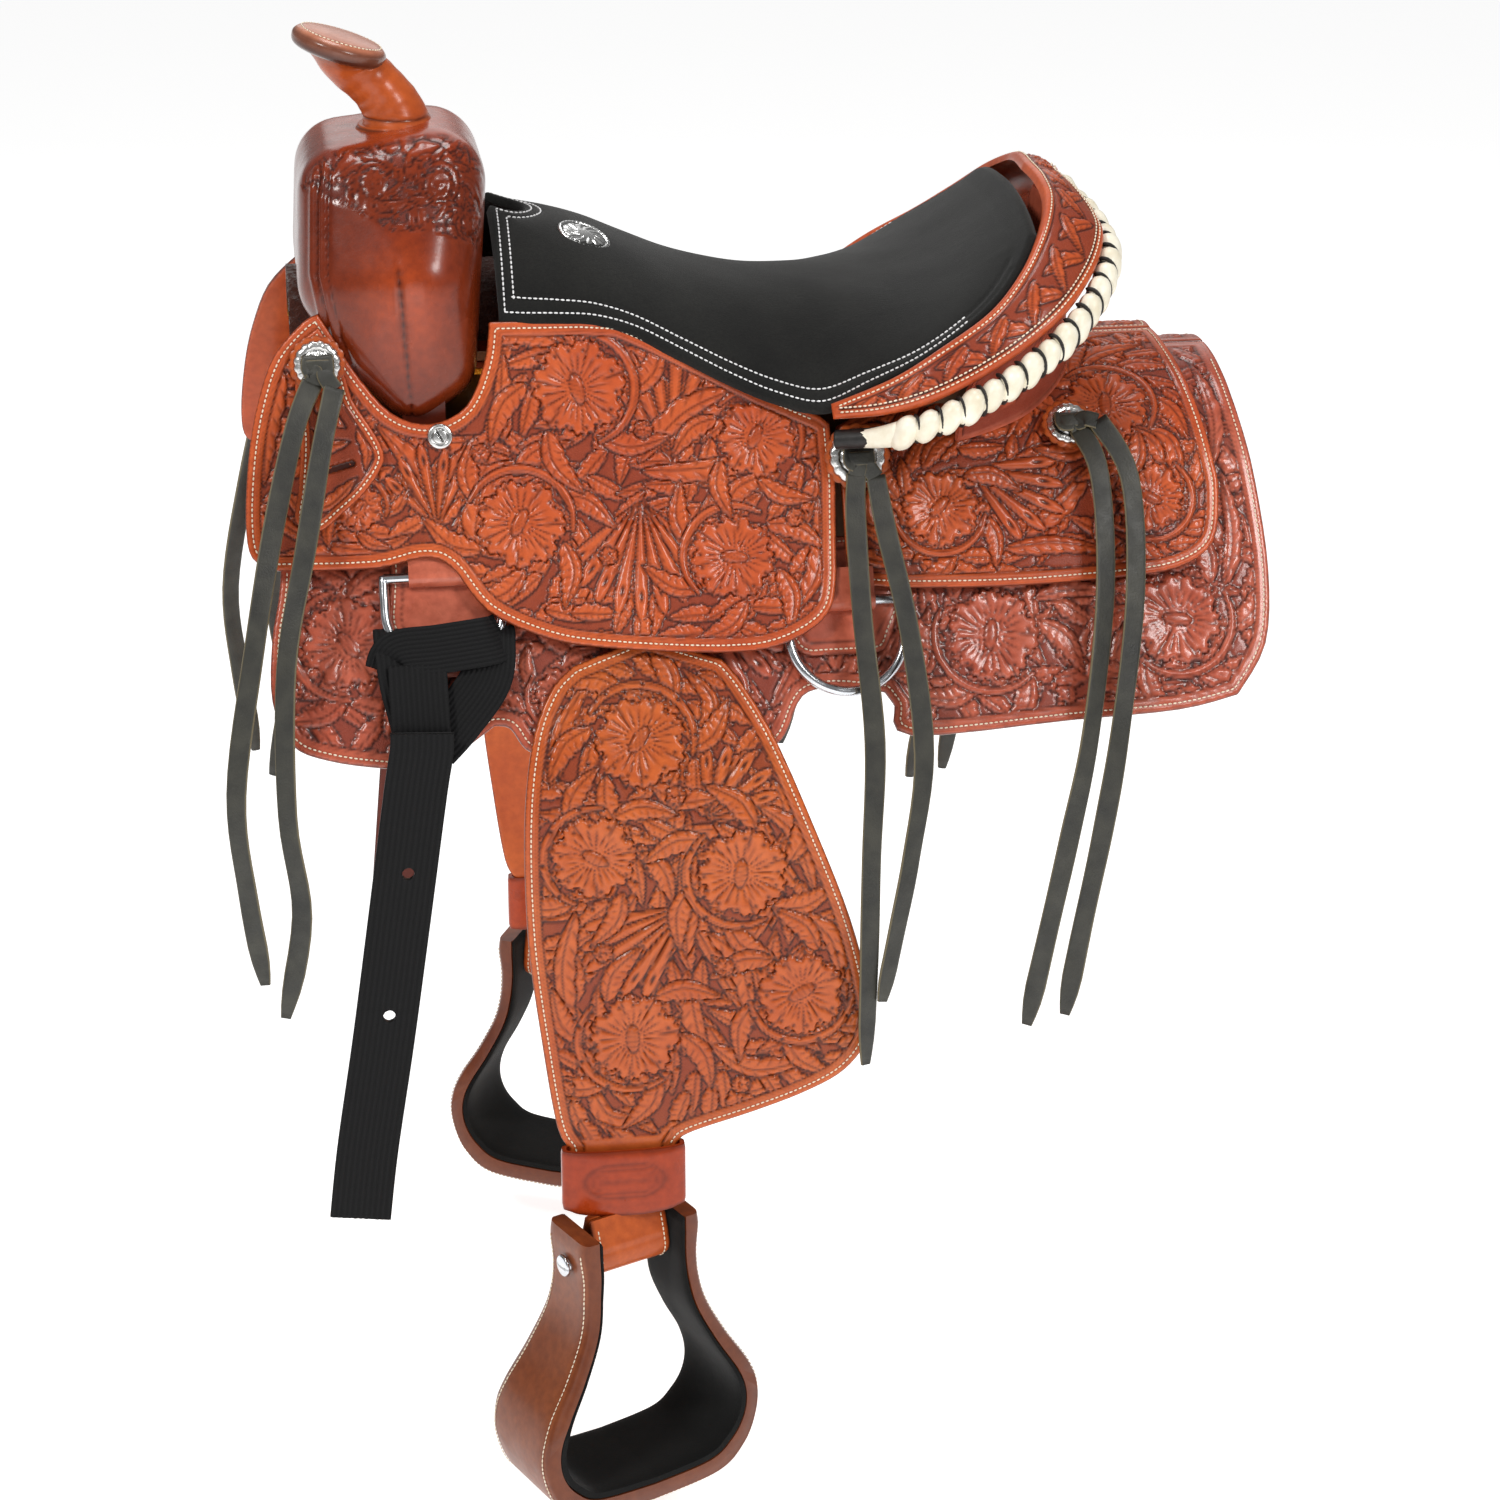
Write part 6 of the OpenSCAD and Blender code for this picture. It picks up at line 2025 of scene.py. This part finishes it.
def placed(v):
    """From the stirrup's own axes to its place at rest, in mm."""
    v = np.asarray(v, float)
    c, s = math.cos(TURN), math.sin(TURN)
    return np.stack([-90 + c * v[..., 0] - s * v[..., 1], -228 + s * v[..., 0] + c * v[..., 1], -546
                     + v[..., 2]], -1)


def stirrup_leathers():
    a = np.radians(np.linspace(90 + 62, 90 + 298, 44))
    bow = np.stack([10.6 * np.cos(a), 10.6 * np.sin(a)], 1)
    left = np.stack([np.linspace(-2.6, bow[0, 0], 8), np.linspace(29, bow[0, 1] + 3, 8)], 1)
    right = np.stack([np.linspace(bow[-1, 0], 2.6, 8), np.linspace(bow[-1, 1] + 3, 29, 8)], 1)
    yz = smooth(resample(np.concatenate([left, bow, right]), 3.0), 3)
    t = tangents(yz)
    nn = np.stack([t[:, 1], -t[:, 0]], 1)
    if (yz * nn).sum(1).mean() < 0:
        nn = -nn
    w = 28.6
    xs = np.linspace(-1, 1, 25)
    edge = 1 - np.abs(xs) ** 18
    rows = []
    for off, sgn in ((2.0, 1), (-1.9, -1)):
        q = yz[:, None] + nn[:, None] * (off * (0.55 + 0.45 * edge))[None, :, None]
        g = np.stack([np.broadcast_to(xs * w, q.shape[:2]), q[..., 0], q[..., 1]], -1)
        rows.append(g if sgn > 0 else g[:, ::-1])
    v, f = loft(np.concatenate(rows, 1))
    mark = np.broadcast_to(np.abs(xs) > 0.985, (len(yz), 25)).astype(float)
    mark = np.concatenate([mark, mark[:, ::-1]], 1).ravel()
    st = []
    for x in (-24.6, 24.6):
        line = np.stack([np.full(len(yz), x), yz[:, 0] + nn[:, 0] * 1.9, yz[:, 1] + nn[:, 1] * 1.9], 1)
        low = yz[:, 1] < 21
        st.append(stitches(line[low], np.c_[np.zeros(len(yz)), nn][low], 3.4, 2.4, 0.55))
    sv, sf, _ = join(st)
    bolt, bf = tube(np.stack([np.linspace(-30, 30, 20), np.zeros(20), np.zeros(20)], 1), 8, (0, 0, 1), 40)
    rod, rf = tube(np.stack([np.linspace(-47.5, 47.5, 30), np.zeros(30), np.zeros(30)], 1), 4.9,
                   (0, 0, 1), 24)
    heads = [disc((s * 47.0, 0, 0), (s, 0, 0), (0, 0, 1), 8, 8,
                  lambda R, A: (3.6 - 1.6 * R ** 2 - 1.4 * ss(R, 0.9, 1.0), 0.7
                                * (np.abs(R * np.cos(A)) < 0.1)), None,
                  12, 40) for s in (-1, 1)]
    bv, bfs, bat = join([(bolt, bf), (rod, rf), *heads])
    for label, s in SIDES:
        o = build(f"stirrup_loop_{label}", f"stirrup_neck_{label}", M["plain"], placed(v), f,
                  {"edge": np.r_[mark, 0, 0]}, "tooled_leather", s, sharp=60)
        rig.replaces(o, f"stirrup_leather_{label}")
        build(f"stirrup_loop_stitches_{label}", f"stirrup_neck_{label}", M["thread"], placed(sv), sf,
              None, None, s)
        o = build(f"bolt_{label}", f"stirrup_{label}", M["steel"], placed(bv), bfs, bat, "steel", s)
        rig.replaces(o, f"stirrup_bolt_{label}")


BELL_OUT = smooth([[45, 24], [46, 14], [44, -10], [48, -40], [62, -70], [79, -98], [86, -120], [84, -142],
                   [74, -164], [52, -180], [0, -184]], 8)
BELL_IN = smooth([[33, 24], [33, 14], [33, -10], [38, -42], [52, -73], [68, -101], [74, -120], [72, -138],
                  [62, -154], [44, -165], [0, -168]], 8)
BELL_LINING = smooth([[30.8, 20], [30.5, 8], [30.5, -10], [34.5, -42], [48, -73], [63.5, -101], [69, -120],
                      [67, -136], [58, -149], [42, -159], [0, -162]], 8)


def bell_line(p, n=220):
    q = np.concatenate([p, p[-2::-1] * (-1, 1)])
    d = travel(q)
    t = np.linspace(0, d[-1], n)
    return np.stack([np.interp(t, d, q[:, k]) for k in (0, 1)], 1)


def stirrups():
    out, inn, lin_ = bell_line(BELL_OUT), bell_line(BELL_IN), bell_line(BELL_LINING)
    depth = lambda z: np.interp(z, [-190, -110, -20, 26], [37.6, 37.6, 25.8, 24.6])
    w = np.linspace(-1, 1, 37)
    rim = (1 - np.abs(w) ** 10)

    def wall(a, b, inset_a, inset_b, crown):
        za = depth(a[:, 1])
        t = unit(b - a)
        A = a[:, None] + t[:, None] * (inset_a * (1 - rim) - crown * rim)[None, :, None]
        B = b[:, None] - t[:, None] * (inset_b * (1 - rim))[None, :, None]
        ga = np.stack([A[..., 0], za[:, None] * w[None], A[..., 1]], -1)
        gb = np.stack([B[..., 0], za[:, None] * w[None], B[..., 1]], -1)
        v, f = loft(np.concatenate([ga, gb[:, ::-1]], 1))
        edge = np.broadcast_to(np.abs(w) > 0.9, ga.shape[:2]).astype(float) * 0.5
        edge = np.concatenate([edge, edge[:, ::-1]], 1).ravel()
        return v, f, np.r_[edge, 0, 0]
    v, f, e = wall(out, inn, 3.6, 1.0, 0.4)
    lv, lf, _ = wall(inn + (lin_ - inn) * 0.02, lin_, 0.2, 1.6, 0.0)
    za = depth(out[:, 1])
    t = unit(out - inn)
    rows = []
    for sgn in (-1, 1):
        line = out + t * 0.1
        p = np.stack([line[:, 0], sgn * (za - 5.0), line[:, 1]], 1)
        rows.append(stitches(p[4:-4], np.stack([t[:, 0], 0 * za, t[:, 1]], 1)[4:-4], 3.4, 2.4, 0.55))
    sv, sf, _ = join(rows)
    for label, s in SIDES:
        o = build(f"stirrup_cover_{label}", f"stirrup_{label}", M["stirrup"], placed(v), f, {"edge": e},
                  "tooled_leather", s, sharp=60)
        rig.replaces(o, f"stirrup_{label}")
        o = build(f"stirrup_suede_{label}", f"stirrup_{label}", M["lining"], placed(lv), lf, None,
                  "suede", s,
                  sharp=60)
        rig.replaces(o, f"stirrup_lining_{label}")
        build(f"stirrup_stitches_{label}", f"stirrup_{label}", M["thread"], placed(sv), sf, None, None, s)


# ------------------------------------------------------------ all together

def floor():
    n = Nodes("floor", 0.9, spec=0.1)
    n.color((0.9, 0.9, 0.9, 1))
    n.p.inputs["Emission Color"].default_value = (1, 1, 1, 1)
    n.p.inputs["Emission Strength"].default_value = 0.72
    me = bpy.data.meshes.new("floor")
    me.from_pydata([(-30, -30, -0.78), (30, -30, -0.78), (30, 30, -0.78), (-30, 30, -0.78)], [],
                   [(0, 1, 2, 3)])
    me.materials.append(n.m)
    o = bpy.data.objects.new("floor", me)
    bpy.context.scene.collection.objects.link(o)
    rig.stage(o)


def paint(name, material):
    mesh = bpy.data.objects[name].data
    mesh.materials.clear()
    mesh.materials.append(material)


def panels():
    """The large tooled leathers; the fenders bend between their two bodies."""
    seat_jockey()
    rear_jockey()
    skirt()
    fender()
    for label, s in SIDES:
        for piece in (f"fender_panel_{label}", f"fender_panel_stitches_{label}"):
            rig.blend(bpy.data.objects[piece], f"fender_top_{label}", f"fender_{label}",
                     start=(-0.066, -s * 0.165, -0.130), end=(-0.066, -s * 0.178, -0.162))
        for piece, nodes in (("fender_panel", ("fender_top", "fender")), ("jockey_panel", ("seat_jockey",)),
                             ("rear_panel", ("rear_jockey",)), ("skirt_panel", ("skirt",))):
            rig.replaces(bpy.data.objects[f"{piece}_{label}"], *(f"{n}_{label}" for n in nodes))


def save_sizes():
    """The CAD box and the visual model's box, as plain lists in metres."""
    boxes = {"cad": cad_box, "visual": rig.bounds()}
    with open("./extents.json", "w") as f:
        json.dump({k: [[float(c) for c in corner] for corner in box] for k, box in boxes.items()}, f)


studio()
make_materials()
strings()
panels()
seat_cover()
cantle()
swell()
gullet_lining()
fleece()
conchos()
keeper()
rigging()
dees()
latigo()
billet()
hobbles()
stirrup_leathers()
stirrups()
for part in ("tree_bars", "tree_cantle"):
    paint(part, M["wood"])
# Painted shade: the tree fork, which shows in the notch under the swell, takes the dark leather so that it reads as
# shadow; the ground seat is dark leather.
for part in ("tree_fork", "ground_seat"):
    paint(part, M["dark"])
floor()
save_sizes()
